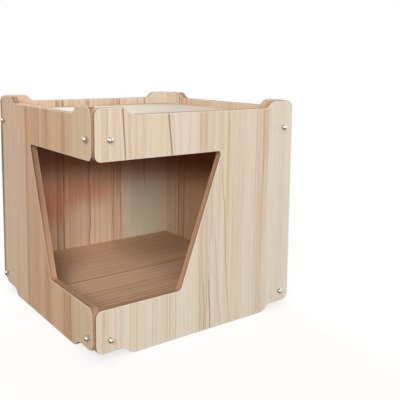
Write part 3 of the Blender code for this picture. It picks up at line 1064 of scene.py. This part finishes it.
def add_streak(tree, shown, place, patchy, streak, look):
    """The colour with one more streak on it."""
    inputs = {
        "Color": shown,
        "Vector": place,
        "Patchy": patchy,
        "Tint": getattr(look, streak.tint),
        "Strength": streak.strength,
        "Lean": streak.lean,
        "Blur": min(streak.width * BLUR_LIMIT, streak.blur) * MM,
    }
    for measure in ("at", "width", "low", "high", "fade", "wander"):
        inputs[measure.capitalize()] = getattr(streak, measure) * MM
    return tree.group(print_streak(), inputs)["Color"]


# A milled side's bands, as shares of the board's thickness: where each starts and is full
DENSE_BAND = (0.40, 0.12)
PALE_BAND = (0.78, 0.88)
DENSE_SHARE = 0.36
PALE_SHARE = 0.30
FIBRE_CELLS = (420.0, 1500.0, 1.0)
FIBRE_SHARE = 0.25
FIBRE_DULL = Step(0.2, 0.8, 0.6, 0.78)
STAIN_CELLS = (25.0, 60.0, 1.0)
STAIN_SHARE = 0.3
CHATTER = 5200.0  # radians for each metre along
CHATTER_DEPTH = 0.12

# The window's slanted sides get painted shade up to the lintel, the left wall's more than the front wall's
SLANT_SHADE_RISE, SLANT_SHADE_FALL = Step(90 * MM, 300 * MM), Step(330 * MM, 310 * MM)
SLANT_SHADE_ACROSS = Step(-180 * MM, -188 * MM, 0.12, 0.52)


def milled_side():
    """Fibre board where it is cut: darker beside the outer laminate, paler beside the inner.

    Chatter marks cross it, and painted shade darkens the window's slanted sides towards their top, under the
    lintel.
    """
    look = bpy.context.scene.cat_house_print
    thickness = bpy.context.scene.cat_house_boards.thickness
    made, tree, shader = new_material("milled_side")
    run = tree.add("ShaderNodeUVMap", uv_map="along_and_across").outputs[0]
    along, depth, _ = tree.split(run)
    dense = tree.smooth(depth, *(thickness * end for end in DENSE_BAND))
    pale = tree.smooth(depth, *(thickness * end for end in PALE_BAND))
    fibres = tree.noise(tree.stretch(run, FIBRE_CELLS), 1.0, detail=3.0, roughness=0.65)
    stain = tree.noise(tree.stretch(run, STAIN_CELLS), 1.0)
    stain = tree.times(tree.minus(stain, 0.5), STAIN_SHARE)
    grime_and_painted_shade = tree.plus(tree.times(dense, DENSE_SHARE), tree.times(fibres, FIBRE_SHARE))
    grime_and_painted_shade = tree.plus(grime_and_painted_shade, stain, clamp=True)
    across, _, height = tree.split(tree.place())
    # painted shade on the window's slanted sides, under the lintel
    slant_shade = tree.times(tree.smooth(height, *SLANT_SHADE_RISE), tree.smooth(height, *SLANT_SHADE_FALL))
    slant_shade = tree.times(slant_shade, tree.smooth(across, *SLANT_SHADE_ACROSS))
    grime_and_painted_shade = tree.plus(grime_and_painted_shade, slant_shade, clamp=True)
    shown = tree.mix(grime_and_painted_shade, look.cut_side, look.cut_dark)
    marks = tree.times(tree.math("SINE", tree.times(along, CHATTER)), CHATTER_DEPTH)
    finish = {
        "Base Color": tree.mix(tree.times(pale, PALE_SHARE), shown, look.salmon),
        "Roughness": tree.smooth(fibres, *FIBRE_DULL),
        "Normal": tree.bump(tree.plus(fibres, marks), EMBOSSING, strength=0.6),
    }
    tree.fill(shader, finish)
    return made


class Plating(NamedTuple):
    """A plating's two tones, and its roughness where it is smoothest and roughest."""

    bright: tuple
    deep: tuple
    smooth: float
    rough: float


CHROME = Plating(tone(206, 203, 195), tone(180, 177, 168), 0.22, 0.34)
BOLT_ZINC = Plating(tone(205, 207, 208), tone(160, 166, 170), 0.24, 0.42)
SCREW_ZINC = Plating(tone(212, 208, 196), tone(178, 168, 142), 0.26, 0.44)
BRACKET_ZINC = Plating(tone(198, 201, 204), tone(150, 156, 160), 0.30, 0.50)
SCRATCH_DEPTH = 0.02 * MM


def plated_steel(name, plating):
    """Steel under a plating, with fine scratches."""
    made, tree, shader = new_material(name)
    inputs = {"Vector": tree.place()}
    for title, value in plating._asdict().items():
        inputs[title.capitalize()] = value
    metal = tree.group(plated_metal(), inputs)
    finish = {
        "Base Color": metal["Color"],
        "Roughness": metal["Roughness"],
        "Metallic": 1.0,
        "Normal": tree.bump(metal["Height"], SCRATCH_DEPTH, strength=0.3),
    }
    tree.fill(shader, finish)
    return made


# Each board's streaks, in the order in which they are laid over each other

FRONT_STREAKS = (
    Streak(-38, 28, "chalk", 0.65, blur=9),
    Streak(97, 17, "chalk", 0.55, blur=8),
    Streak(170, 31, "chalk", 0.9, blur=7),
    Streak(-1, 12, "umber", 0.10, blur=6),
    Streak(-110, 90, "chalk", 0.35, high=110, blur=20),
    Streak(70, 70, "chalk", 0.35, high=230, fade=160, blur=20),
    Streak(-194, 2.2, "rose", 0.6, low=250),
    *tinted("umber", (-184, 4.2, 0.13), (-168, 3.4, 0.08), low=250),
    *tinted("olive", (-178, 1.0, 0.35), (-104, 1.0, 0.25), low=250),
    Streak(-131, 1.3, "umber", 0.80, lean=-0.059, low=250, wander=0.3),
    Streak(-135, 1.4, "chalk", 0.6, lean=-0.059, low=250, wander=0.3),
    *tinted("umber", (-141, 3.0, 0.13), (-119, 1.4, 0.14), (-114, 2.6, 0.12), low=250),
    Streak(-111, 0.9, "salmon", 0.5, lean=-0.088, low=250, wander=0.3),
    Streak(-90, 14, "moss", 0.5, low=250),
    Streak(-84, 1, "umber", 0.12, low=250),
    Streak(-38, 1.5, "umber", 0.85, lean=-0.088, low=250, wander=0.4),
    Streak(-34, 1, "umber", 0.20, lean=-0.080, low=250, wander=0.4),
    *tinted("mauve", (-47, 1.2, 0.36), (-29, 1.4, 0.32), (-16, 1, 0.29), low=250),
    *tinted("salmon", (-5, 4.5, 0.30), (2, 3.0, 0.35), low=240),
    *tinted("umber", (-8, 1, 0.29), (4, 0.9, 0.32), low=240),
    Streak(16, 1.2, "mauve", 0.36, low=200),
    Streak(42, 20, "moss", 0.40, low=170, fade=90, blur=8),
    Streak(32, 1, "umber", 0.23, low=180),
    Streak(38, 3.0, "olive", 0.38, low=230),
    Streak(45, 2.2, "cream", 0.8, low=200),
    Streak(51, 2.2, "olive", 0.50, low=150, fade=90),
    Streak(51, 1, "umber", 0.22, low=170, fade=90),
    Streak(62, 1.4, "mauve", 0.23),
    Streak(70, 9, "rose", 0.8, low=120, fade=120),
    *tinted("mauve", (75, 1, 0.32), (84, 1.4, 0.20), (158, 1.2, 0.20)),
    *tinted("umber", (104, 1.2, 0.10), (114, 1.6, 0.13), (121, 3.4, 0.13)),
    Streak(128, 4.0, "mauve", 0.30, high=290, fade=120),
    Streak(128, 0.9, "umber", 0.26, high=240, fade=60),
    Streak(136, 6.5, "salmon", 0.52, low=255, fade=70, wander=0),
    Streak(134, 6.0, "salmon", 0.22, low=130, high=330, fade=60, wander=0),
    Streak(131, 1, "umber", 0.29, low=240),
    Streak(140, 1, "umber", 0.23, low=210),
    Streak(142, 1.2, "salmon", 0.35, low=130, fade=90),
    Streak(172, 8, "mauve", 0.16, blur=5),
    Streak(181, 1.2, "mauve", 0.26),
    Streak(193, 5, "chalk", 0.7),
    Streak(57, 1.3, "olive", 0.45, lean=-0.066, high=290, wander=0.8),
    Streak(57, 0.8, "umber", 0.32, lean=-0.066, high=290, wander=0.8),
    Streak(52, 1, "mauve", 0.51, lean=-0.050, high=190, wander=0.9),
    Streak(38, 1, "umber", 0.32, lean=-0.090, high=180, wander=0.8),
    Streak(33, 0.9, "mauve", 0.51, lean=-0.075, high=210, wander=0.8),
    Streak(27, 1.1, "mauve", 0.58, lean=-0.05, high=260, wander=0.9),
    Streak(20, 3.5, "chalk", 0.45, high=170),
    Streak(15.5, 1.2, "umber", 0.65, lean=-0.03, high=105, wander=1.0),
    Streak(12, 1.4, "mauve", 0.58, lean=-0.03, high=230, wander=1.1),
    Streak(9, 1.6, "cream", 0.9, high=90, wander=1.2),
    Streak(6.5, 1, "umber", 0.51, lean=-0.01, high=90, wander=1.3),
    Streak(6, 1.4, "mauve", 0.72, lean=0.01, low=60, high=250, wander=1.0),
    Streak(1.5, 1, "umber", 0.51, lean=0.02, high=100, wander=1.2),
    Streak(-2, 1.2, "mauve", 0.65, lean=-0.01, low=50, high=240, wander=0.9),
    Streak(-6, 1.2, "umber", 0.29, high=190),
    *tinted("umber", (-30, 1, 0.12), (-188, 3.0, 0.20), (-180, 1.2, 0.17), (-167, 1, 0.20), high=110),
    Streak(-158, 1.2, "umber", 0.13, high=110),
    Streak(-147, 5.0, "chalk", 0.6, high=110),
    *tinted("umber", (-141, 1.2, 0.17), (-115, 1, 0.14), (-100, 1, 0.26), (-72, 1.4, 0.20), high=110),
    *tinted("mauve", (-128, 1.4, 0.32), (-94, 1.4, 0.32), (-22, 1, 0.36), high=110),
    *tinted("umber", (-66, 1, 0.32), (-56, 1.1, 0.29), high=100),
    Streak(-61, 1.0, "salmon", 0.35, high=100),
)

LEFT_STREAKS = (
    Streak(-130, 76, "rose", 0.9, low=130, fade=130, blur=34),
    Streak(-140, 72, "sage", 0.95, high=330, fade=240, blur=42),
    Streak(-145, 58, "chalk", 0.90, blur=30),
    # painted shade: a broad darker band across the wall's middle
    Streak(40, 84, "umber", 0.13, blur=22),
    *tinted("umber", (-188, 3.5, 0.20), (-167, 1.4, 0.20)),
    Streak(-152, 1.2, "mauve", 0.44),
    Streak(-133, 1.6, "umber", 0.17, low=150),
    Streak(-121, 5.5, "olive", 0.35, high=160, fade=70),
    Streak(-113, 1.2, "umber", 0.26),
    Streak(-95, 8, "rose", 0.6),
    Streak(-84, 1.2, "umber", 0.20),
    Streak(-66, 7.0, "olive", 0.50, blur=2.5),
    Streak(-67, 5.0, "umber", 0.16, blur=2),
    Streak(-61, 1.0, "umber", 0.36),
    Streak(-36, 24, "umber", 0.06, blur=6),
    *tinted("umber", (-52, 1.2, 0.28), (-38, 1.2, 0.22), (-24, 1.6, 0.17)),
    Streak(-8, 1.1, "umber", 0.44, low=280),
    Streak(-2, 1.0, "umber", 0.30, high=200),
    Streak(1, 6.5, "rose", 0.8),
    *tinted("umber", (5, 1.0, 0.20), (12, 2.5, 0.14)),
    Streak(22, 5.5, "umber", 0.24, blur=1.6),
    *tinted("umber", (28.5, 1.0, 0.50), (40, 1.2, 0.17)),
    Streak(3, 1.3, "olive", 0.55, high=180),
    Streak(14, 1.3, "umber", 0.32, high=170),
    Streak(60, 18, "cream", 0.6),
    *tinted("umber", (68, 1.2, 0.22), (79, 1.2, 0.17)),
    Streak(94, 7.5, "olive", 0.40),
    *tinted("umber", (95, 7.0, 0.10), (88, 1.1, 0.42)),
    Streak(106, 8, "umber", 0.24, high=120, fade=50),
    Streak(112, 1.2, "umber", 0.50, high=130),
    Streak(121, 1.0, "umber", 0.30),
    Streak(155, 34, "moss", 0.9, blur=14),
    Streak(160, 34, "sage", 0.45, blur=16),
    *tinted("umber", (143, 1.2, 0.20), (170, 1.2, 0.17)),
)

BACK_STREAKS = (
    # painted light: the back wall paler below the roof
    Streak(0, 250, "milk", 0.5, high=362, fade=8, wander=0),
    Streak(120, 60, "salmon", 0.15, blur=12),
    *tinted("umber", (88, 2.0, 0.70), (83, 1.2, 0.60), (79, 3.5, 0.22), (74, 1.8, 0.75)),
    *tinted("umber", (60, 1.2, 0.35), (50, 8, 0.16), (36, 1.2, 0.45)),
    Streak(30, 6, "rose", 0.8),
    *tinted("umber", (18, 5, 0.24), (2, 1.0, 0.30), (-11, 1.2, 0.35), (-26, 1.0, 0.28)),
    Streak(14, 1.6, "walnut", 0.55, wander=1.4),
    Streak(-41, 2.2, "russet", 0.40, wander=0.8),
    Streak(-45, 1.2, "walnut", 0.50, wander=1.0),
    Streak(-56, 1.2, "umber", 0.60, low=140),
    Streak(-52, 8, "umber", 0.16),
    Streak(-67, 1.8, "russet", 0.45, lean=0.02),
    Streak(-62, 1.1, "walnut", 0.50),
    # painted light: a broad reddish glow on the back wall, where the shade high in the room ends
    Streak(128, 62, "russet", 0.66, low=80, high=225, fade=60, wander=0, blur=34),
    Streak(14, 56, "russet", 0.54, low=120, high=232, fade=52, wander=0, blur=30),
    Streak(-134, 54, "chalk", 1.0, blur=5),
    Streak(-108, 1.2, "umber", 0.40),
    Streak(-126, 1.3, "umber", 0.70, wander=0.4),
    Streak(-122, 46, "sage", 1.0, low=20, high=215, fade=60, wander=0, blur=8),
    Streak(-150, 60, "umber", 0.14, high=400, low=60, fade=60, wander=0),
)

RIGHT_STREAKS = (
    # painted light: the right wall paler below the roof
    Streak(0, 250, "milk", 0.5, high=362, fade=8, wander=0),
    Streak(168, 26, "chalk", 1.0, blur=8),
    Streak(172, 24, "sage", 0.5, high=200, fade=90, blur=10),
    *tinted("umber", (150, 1.2, 0.43), (138, 1.6, 0.80), (128, 5.0, 0.30)),
    Streak(120, 3.5, "umber", 0.45, lean=-0.02),
    *tinted("umber", (108, 2, 0.36), (99, 3.5, 0.25), (92, 1.2, 0.65)),
    Streak(60, 28, "olive", 0.35),
    # painted shade: the room's right wall darker, up to the roof
    Streak(0, 250, "umber", 0.10, low=30, high=360, fade=60, wander=0),
)

FLOOR_STREAKS = (
    # painted light: the floor paler, most towards the front and the left
    Streak(0, 250, "milk", 0.5, wander=0),
    # painted shade: the floor darker towards its right, behind the front wall
    Streak(0, 200, "umber", 0.38, low=-60, fade=150, wander=0),
    Streak(-165, 60, "milk", 0.5, wander=0, blur=30),
    Streak(80, 130, "milk", 0.9, high=80, fade=160, blur=40),
    Streak(60, 80, "russet", 0.10, high=60, fade=120, blur=40),
    *tinted("umber", (-5, 2.2, 0.62), (4, 1.2, 0.24)),
    Streak(22, 14, "moss", 0.6),
    *tinted("umber", (14, 1.0, 0.20), (31, 1.2, 0.24), (-22, 1.2, 0.30), (-37, 1.0, 0.20)),
    *tinted("umber", (-84, 1.4, 0.50), (-94, 1.0, 0.30)),
    *tinted("russet", (-52, 1.4, 0.30), (-68, 1.8, 0.60), (-76, 1.4, 0.40)),
    Streak(-103, 16, "salmon", 0.20),
    *tinted("umber", (-112, 1.4, 0.48), (-131, 1.2, 0.55), (-138, 2.0, 0.70), (-150, 1.4, 0.36)),
    *tinted("umber", (48, 1.2, 0.30), (62, 1.0, 0.22), (74, 1.2, 0.32), (84, 1.2, 0.30)),
    *tinted("umber", (101, 1.6, 0.34), (115, 1.2, 0.26), (133, 1.8, 0.32)),
    *tinted("russet", (-122, 1.8, 0.62), (-163, 1.2, 0.40)),
)

REAR_STREAKS = (
    *tinted("salmon", (-168, 8, 0.35), (-20, 5, 0.40), (104, 6, 0.42)),
    Streak(-124, 1.2, "umber", 0.55, lean=-0.02),
    Streak(-84, 16, "chalk", 0.7, blur=6),
    *tinted("umber", (-62, 1.8, 0.50), (-55, 1.0, 0.45), wander=1.2),
    Streak(8, 1.2, "mauve", 0.55),
    Streak(30, 26, "rose", 0.7, blur=9),
    Streak(52, 1.3, "umber", 0.60, lean=0.03, wander=1.0),
    Streak(57, 1.1, "umber", 0.50, lean=0.02, wander=1.2),
    Streak(110, 1.0, "umber", 0.50),
    Streak(150, 30, "chalk", 0.7, blur=8),
    Streak(172, 1.2, "mauve", 0.45),
)

# The far side's streaks are the rear's, mirrored and moved 12 mm
FAR_SIDE_STREAKS = tuple(streak._replace(at=12 - streak.at, lean=-streak.lean) for streak in REAR_STREAKS)

ROOF_STREAKS = (Streak(0, 250, "chalk", 0.7, wander=0),)


class Wall(NamedTuple):
    """A wall's node, the way across its outer face, its slot, and the streaks outside and inside.

    A tan is how far that side's print is towards the warmer tone, partly the sheet's own and partly painted
    shade.
    """

    node: str
    across: np.ndarray
    slot: str
    outside: tuple
    inside: tuple = ()
    window_end: str = ""
    outside_tan: float = 0.0
    inside_tan: float = 0.8


WALLS = (
    Wall("front_wall", X_AXIS, "front_wall_laminate", FRONT_STREAKS, window_end="left"),
    Wall("right_wall", Y_AXIS, "side_wall_laminate", FAR_SIDE_STREAKS, RIGHT_STREAKS),
    Wall("back_wall", -X_AXIS, "back_wall_laminate", REAR_STREAKS, BACK_STREAKS, inside_tan=0.5),
    # the left wall's outside tan is partly painted shade
    Wall("left_wall", -Y_AXIS, "side_wall_laminate", LEFT_STREAKS, window_end="right", outside_tan=0.9),
)

# The floor and the roof: node, slot, the top's streaks and its tan
LEVELS = (
    # the floor's tan is partly painted warm shade in the room
    ("floor_panel", "floor_laminate", FLOOR_STREAKS, 0.8),
    ("roof_panel", "roof_laminate", ROOF_STREAKS, 0.0),
)
# the undersides' tan is partly painted warm shade
UNDERSIDE_TAN = 0.8
LEVEL_RIM = 0.2  # of what the corner leaves beside the arris

# Each side of a board has its own print, and these are the first seeds
OUTSIDE_SEED = 1.0
INSIDE_SEED = 11.0
TOP_SEED = 21.0
UNDERSIDE_SEED = 31.0


# Operators


def fastener_nodes(kind, board=""):
    return sorted(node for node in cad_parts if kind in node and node.startswith(board))


def hole_places(face, kind, board):
    """Where a board's fasteners of a kind stand, across and up its face."""
    middles = [np.array(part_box(node)).mean(0) for node in fastener_nodes(kind, board)]
    return [(middle @ face.across, middle @ face.up) for middle in middles]


class CATHOUSE_OT_walls(bpy.types.Operator):
    """Make the four walls"""

    bl_idname = "cat_house.walls"
    bl_label = "Walls"

    def execute(self, context):
        shape = context.scene.cat_house_boards
        side = milled_side()
        roof = sum(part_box("roof_panel"), Vector()) / 2
        for index, wall in enumerate(WALLS):
            node = wall.node
            face, end, _ = face_of(node, wall.across, Z_AXIS)
            holes = hole_places(face, "_cap_nut_", node)
            turn = grain_turn(wall.across, Z_AXIS)
            seeds = index + OUTSIDE_SEED, index + INSIDE_SEED
            finishes = (
                laminate(node + "_outside", turn, seeds[0], wall.outside, wall.outside_tan),
                laminate(node + "_inside", turn, seeds[1], wall.inside, wall.inside_tan, roof.z),
                side,
            )
            corners = wall_corners(shape, end, wall.window_end)
            board = board_piece(node + "_board", face, corners, holes, shape, shape.rim_strip, finishes)
            dress(board, node)
        return {"FINISHED"}


class CATHOUSE_OT_levels(bpy.types.Operator):
    """Make the floor and the roof"""

    bl_idname = "cat_house.levels"
    bl_label = "Floor and roof"

    def execute(self, context):
        shape = context.scene.cat_house_boards
        turn = grain_turn(Y_AXIS, X_AXIS)
        corner = shape.level_corner
        rim = LEVEL_RIM * (corner - shape.arris)
        for index, (node, slot, streaks, tan) in enumerate(LEVELS):
            face, across, up = face_of(node, X_AXIS, Y_AXIS)
            corners = np.array([(-across, -up), (across, -up), (across, up), (-across, up)])
            corners = np.c_[corners, np.full(len(corners), corner)]
            finishes = (
                laminate(node + "_top", turn, index + TOP_SEED, streaks, tan),
                laminate(node + "_underside", turn, index + UNDERSIDE_SEED, (), UNDERSIDE_TAN),
                bpy.data.materials["milled_side"],
            )
            pilots = hole_places(face, "_screw_", node.removesuffix("panel"))
            board = board_piece(node + "_board", face, corners, [], shape, rim, finishes, pilots)
            dress(board, node)
        return {"FINISHED"}


GOLDEN_ANGLE = pi * (3 - sqrt(5))
BOLT_THREAD_DEPTH = 0.6  # of its pitch
SCREW_THREAD_DEPTH = 0.5
SCREW_POINT = 3 * MM


def on_walls(kind):
    """Each wall's fasteners of a kind, with the way out of the wall and a turn of their own."""
    for wall in WALLS:
        first = 3 * wall.across[0] + 5 * wall.across[1]
        for index, fastener in enumerate(fastener_nodes(kind, wall.node)):
            yield fastener, np.cross(wall.across, Z_AXIS), GOLDEN_ANGLE * (index + first)


class CATHOUSE_OT_cap_nuts(bpy.types.Operator):
    """Make the sixteen cap nuts"""

    bl_idname = "cat_house.cap_nuts"
    bl_label = "Cap nuts"

    def execute(self, context):
        shape = context.scene.cat_house_hardware
        chrome = plated_steel("chrome", CHROME)
        for node, out, turn in on_walls("_cap_nut_"):
            dress(cap_nut_piece(node, out, turn, shape, chrome), node)
        return {"FINISHED"}


class CATHOUSE_OT_bolts(bpy.types.Operator):
    """Make the sixteen machine bolts"""

    bl_idname = "cat_house.bolts"
    bl_label = "Bolts"

    def execute(self, context):
        shape = context.scene.cat_house_hardware
        zinc = plated_steel("bolt_zinc", BOLT_ZINC)
        sizes = Fastener(
            head=shape.bolt_head,
            head_height=shape.bolt_head_height,
            shank=shape.bolt_radius,
            pitch=shape.bolt_pitch,
            depth=shape.bolt_pitch * BOLT_THREAD_DEPTH,
            point=shape.bolt_pitch,
        )
        for node, out, turn in on_walls("_bolt_"):
            dress(threaded_piece(node, out, turn, sizes, zinc), node)
        return {"FINISHED"}


class CATHOUSE_OT_screws(bpy.types.Operator):
    """Make the eight wood screws"""

    bl_idname = "cat_house.screws"
    bl_label = "Screws"

    def execute(self, context):
        shape = context.scene.cat_house_hardware
        zinc = plated_steel("screw_zinc", SCREW_ZINC)
        sizes = Fastener(
            head=shape.screw_head,
            head_height=shape.screw_head_height,
            shank=shape.screw_radius,
            pitch=shape.screw_pitch,
            depth=shape.screw_pitch * SCREW_THREAD_DEPTH,
            point=SCREW_POINT,
        )
        for index, node in enumerate(fastener_nodes("_screw_")):
            dress(threaded_piece(node, Z_AXIS, GOLDEN_ANGLE * index, sizes, zinc), node)
        return {"FINISHED"}


class CATHOUSE_OT_brackets(bpy.types.Operator):
    """Make the eight corner brackets"""

    bl_idname = "cat_house.brackets"
    bl_label = "Brackets"

    def execute(self, context):
        zinc = plated_steel("bracket_zinc", BRACKET_ZINC)
        for node in fastener_nodes("_bracket_"):
            dress(pressed_piece(node, zinc), node)
        return {"FINISHED"}


WELD_DISTANCE = 0.001 * MM
FLAT_DEGREES = 0.5
PRESSED_EDGE = 0.15 * MM
PRESSED_DEGREES = 40


def pressed_piece(node, finish):
    """A bracket: its solid with its flat triangles merged and every cut edge rounded."""
    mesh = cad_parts[node].data.copy()
    mesh.name = node + "_pressed"
    bm = bmesh.new()
    bm.from_mesh(mesh)
    bmesh.ops.remove_doubles(bm, verts=bm.verts, dist=WELD_DISTANCE)
    bmesh.ops.dissolve_limit(bm, angle_limit=radians(FLAT_DEGREES), verts=bm.verts, edges=bm.edges)
    bm.to_mesh(mesh)
    bm.free()
    mesh.materials.clear()
    mesh.materials.append(finish)
    mesh.shade_smooth()
    made = add_piece(mesh.name, mesh)
    rounded = made.modifiers.new("rounded", "BEVEL")
    rounded.width = PRESSED_EDGE
    rounded.segments = 2
    rounded.limit_method = "ANGLE"
    rounded.angle_limit = radians(PRESSED_DEGREES)
    rounded.harden_normals = True
    return made


# Each softbox: its place, and its width and height
SOFTBOXES = {
    "key_light": ((-2.46, -3.54, 1.6), (2.8, 0.8)),
    "fill_light": ((-2.2, -2.2, 2.4), (1.8, 1.2)),
    "left_light": ((-2.6, 1.4, 0.9), (1.6, 0.8)),
    "front_light": ((-1.0, -3.4, 0.7), (1.6, 0.6)),
    "right_light": ((2.5, -0.2, 0.6), (1.8, 0.8)),
    "back_light": ((0.3, 2.3, 1.5), (1.8, 0.8)),
}
LAMPS_AIM = Vector((0.0, 0.0, 0.2))
CAMERA_CLIP = (0.01, 50.0)


class CATHOUSE_OT_stage(bpy.types.Operator):
    """Make the floor, the lamps and the camera"""

    bl_idname = "cat_house.stage"
    bl_label = "Studio"

    def execute(self, context):
        look = context.scene.cat_house_studio
        context.scene.view_settings.view_transform = "Standard"
        add_camera(look)
        add_room(look)
        add_ground()
        for name, (place, size) in SOFTBOXES.items():
            add_softbox(name, place, size, getattr(look, name))
        return {"FINISHED"}


def add_camera(look):
    """The camera looks along (sin y cos p, cos y cos p, sin p) for a yaw y and a pitch p."""
    ahead = Vector((sin(look.yaw) * cos(look.pitch), cos(look.yaw) * cos(look.pitch), sin(look.pitch)))
    right = Vector((cos(look.yaw), -sin(look.yaw), 0.0))
    up = right.cross(ahead)
    level = cos(look.roll) * right + sin(look.roll) * up
    upright = cos(look.roll) * up - sin(look.roll) * right
    data = bpy.data.cameras.new("camera")
    data.lens = look.lens
    data.shift_x, data.shift_y = look.shift
    data.clip_start, data.clip_end = CAMERA_CLIP
    camera = bpy.data.objects.new("camera", data)
    turn = Matrix((level, upright, -ahead)).transposed().to_4x4()
    camera.matrix_world = Matrix.Translation(look.place) @ turn
    bpy.context.scene.collection.objects.link(camera)
    bpy.context.scene.camera = camera


def add_room(look):
    """Even light, seen as white by the camera and in reflections."""
    world = bpy.data.worlds.new("room")
    world.use_nodes = True
    tree = Tree(world.node_tree)
    back = world.node_tree.nodes["Background"]
    path = tree.add("ShaderNodeLightPath").outputs
    seen = tree.math("MAXIMUM", path["Is Camera Ray"], path["Is Glossy Ray"])
    seen = tree.math("MAXIMUM", seen, path["Is Transmission Ray"])
    strength = tree.add("ShaderNodeMapRange", {"Value": seen, "To Min": look.room_light, "To Max": 1.0})
    tree.fill(back, {"Color": (1.0, 1.0, 1.0), "Strength": strength.outputs[0]})
    bpy.context.scene.world = world


GROUND_REACH = 12.0
GROUND_DROP = 0.3 * MM
GROUND_TONE = (0.33, 0.327, 0.324)
GROUND_LIFT = 0.69  # light of its own, seen by the camera alone
GROUND_WHITE = Step(0.45, 1.2)


def add_ground():
    """A pale floor that keeps the house's shadow, is white further out and can be seen through from below."""
    corners = GROUND_REACH * np.array([(-1, -1, 0), (1, -1, 0), (1, 1, 0), (-1, 1, 0)])
    corners[:, 2] = -GROUND_DROP
    mesh = bpy.data.meshes.new("ground")
    mesh.from_pydata(corners.tolist(), [], [(0, 1, 2, 3)])
    ground = add_piece("ground", mesh)
    made, tree, shader = new_material("ground")
    tree.fill(shader, {"Base Color": GROUND_TONE, "Roughness": 0.9, "Specular IOR Level": 0.1})
    away = tree.add("ShaderNodeVectorMath", {0: tree.place()}, operation="LENGTH").outputs["Value"]
    seen = tree.add("ShaderNodeLightPath").outputs["Is Camera Ray"]
    white = tree.add("ShaderNodeEmission", {"Strength": 1.0})
    lift = tree.add("ShaderNodeEmission", {"Strength": tree.times(seen, GROUND_LIFT)})
    near = tree.add("ShaderNodeAddShader", {0: shader.outputs[0], 1: lift.outputs[0]})
    far = tree.times(tree.smooth(away, *GROUND_WHITE), seen)
    mixed = tree.add("ShaderNodeMixShader", {0: far, 1: near.outputs[0], 2: white.outputs[0]})
    below = tree.add("ShaderNodeNewGeometry").outputs["Backfacing"]
    clear = tree.add("ShaderNodeBsdfTransparent").outputs[0]
    shown = tree.add("ShaderNodeMixShader", {0: below, 1: mixed.outputs[0], 2: clear})
    tree.fill(made.node_tree.nodes["Material Output"], {"Surface": shown.outputs[0]})
    mesh.materials.append(made)


def add_softbox(name, place, size, watts):
    data = bpy.data.lights.new(name, "AREA")
    data.shape = "RECTANGLE"
    data.size, data.size_y = size
    data.energy = watts
    lamp = bpy.data.objects.new(name, data)
    lamp.location = place
    lamp.rotation_euler = (LAMPS_AIM - Vector(place)).to_track_quat("-Z", "Y").to_euler()
    bpy.context.scene.collection.objects.link(lamp)


class CATHOUSE_PT_parts(bpy.types.Panel):
    """The house's parts and their sizes"""

    bl_idname = "CATHOUSE_PT_parts"
    bl_label = "Wooden cat house"
    bl_space_type = "VIEW_3D"
    bl_region_type = "UI"
    bl_category = "Cat house"

    def draw(self, context):
        for operator in OPERATORS:
            self.layout.operator(operator.bl_idname)
        for group in SETTINGS:
            box = self.layout.box()
            settings = getattr(context.scene, group)
            for name in settings.bl_rna.properties.keys():
                if name not in ("rna_type", "name"):
                    box.prop(settings, name)


OPERATORS = (
    CATHOUSE_OT_stage,
    CATHOUSE_OT_walls,
    CATHOUSE_OT_levels,
    CATHOUSE_OT_brackets,
    CATHOUSE_OT_bolts,
    CATHOUSE_OT_cap_nuts,
    CATHOUSE_OT_screws,
)
SETTINGS = {
    "cat_house_boards": BoardShape,
    "cat_house_print": PrintLook,
    "cat_house_hardware": HardwareShape,
    "cat_house_studio": StudioLook,
}


def register():
    for group in SETTINGS.values():
        bpy.utils.register_class(group)
    for name, group in SETTINGS.items():
        setattr(bpy.types.Scene, name, PointerProperty(type=group))
    for operator in OPERATORS:
        bpy.utils.register_class(operator)
    bpy.utils.register_class(CATHOUSE_PT_parts)


def unregister():
    bpy.utils.unregister_class(CATHOUSE_PT_parts)
    for operator in OPERATORS:
        bpy.utils.unregister_class(operator)
    for name, group in SETTINGS.items():
        delattr(bpy.types.Scene, name)
        bpy.utils.unregister_class(group)


def main():
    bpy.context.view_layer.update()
    register()
    bpy.ops.cat_house.stage()
    bpy.ops.cat_house.walls()
    bpy.ops.cat_house.levels()
    bpy.ops.cat_house.brackets()
    bpy.ops.cat_house.bolts()
    bpy.ops.cat_house.cap_nuts()
    bpy.ops.cat_house.screws()


if __name__ == "__main__":
    main()
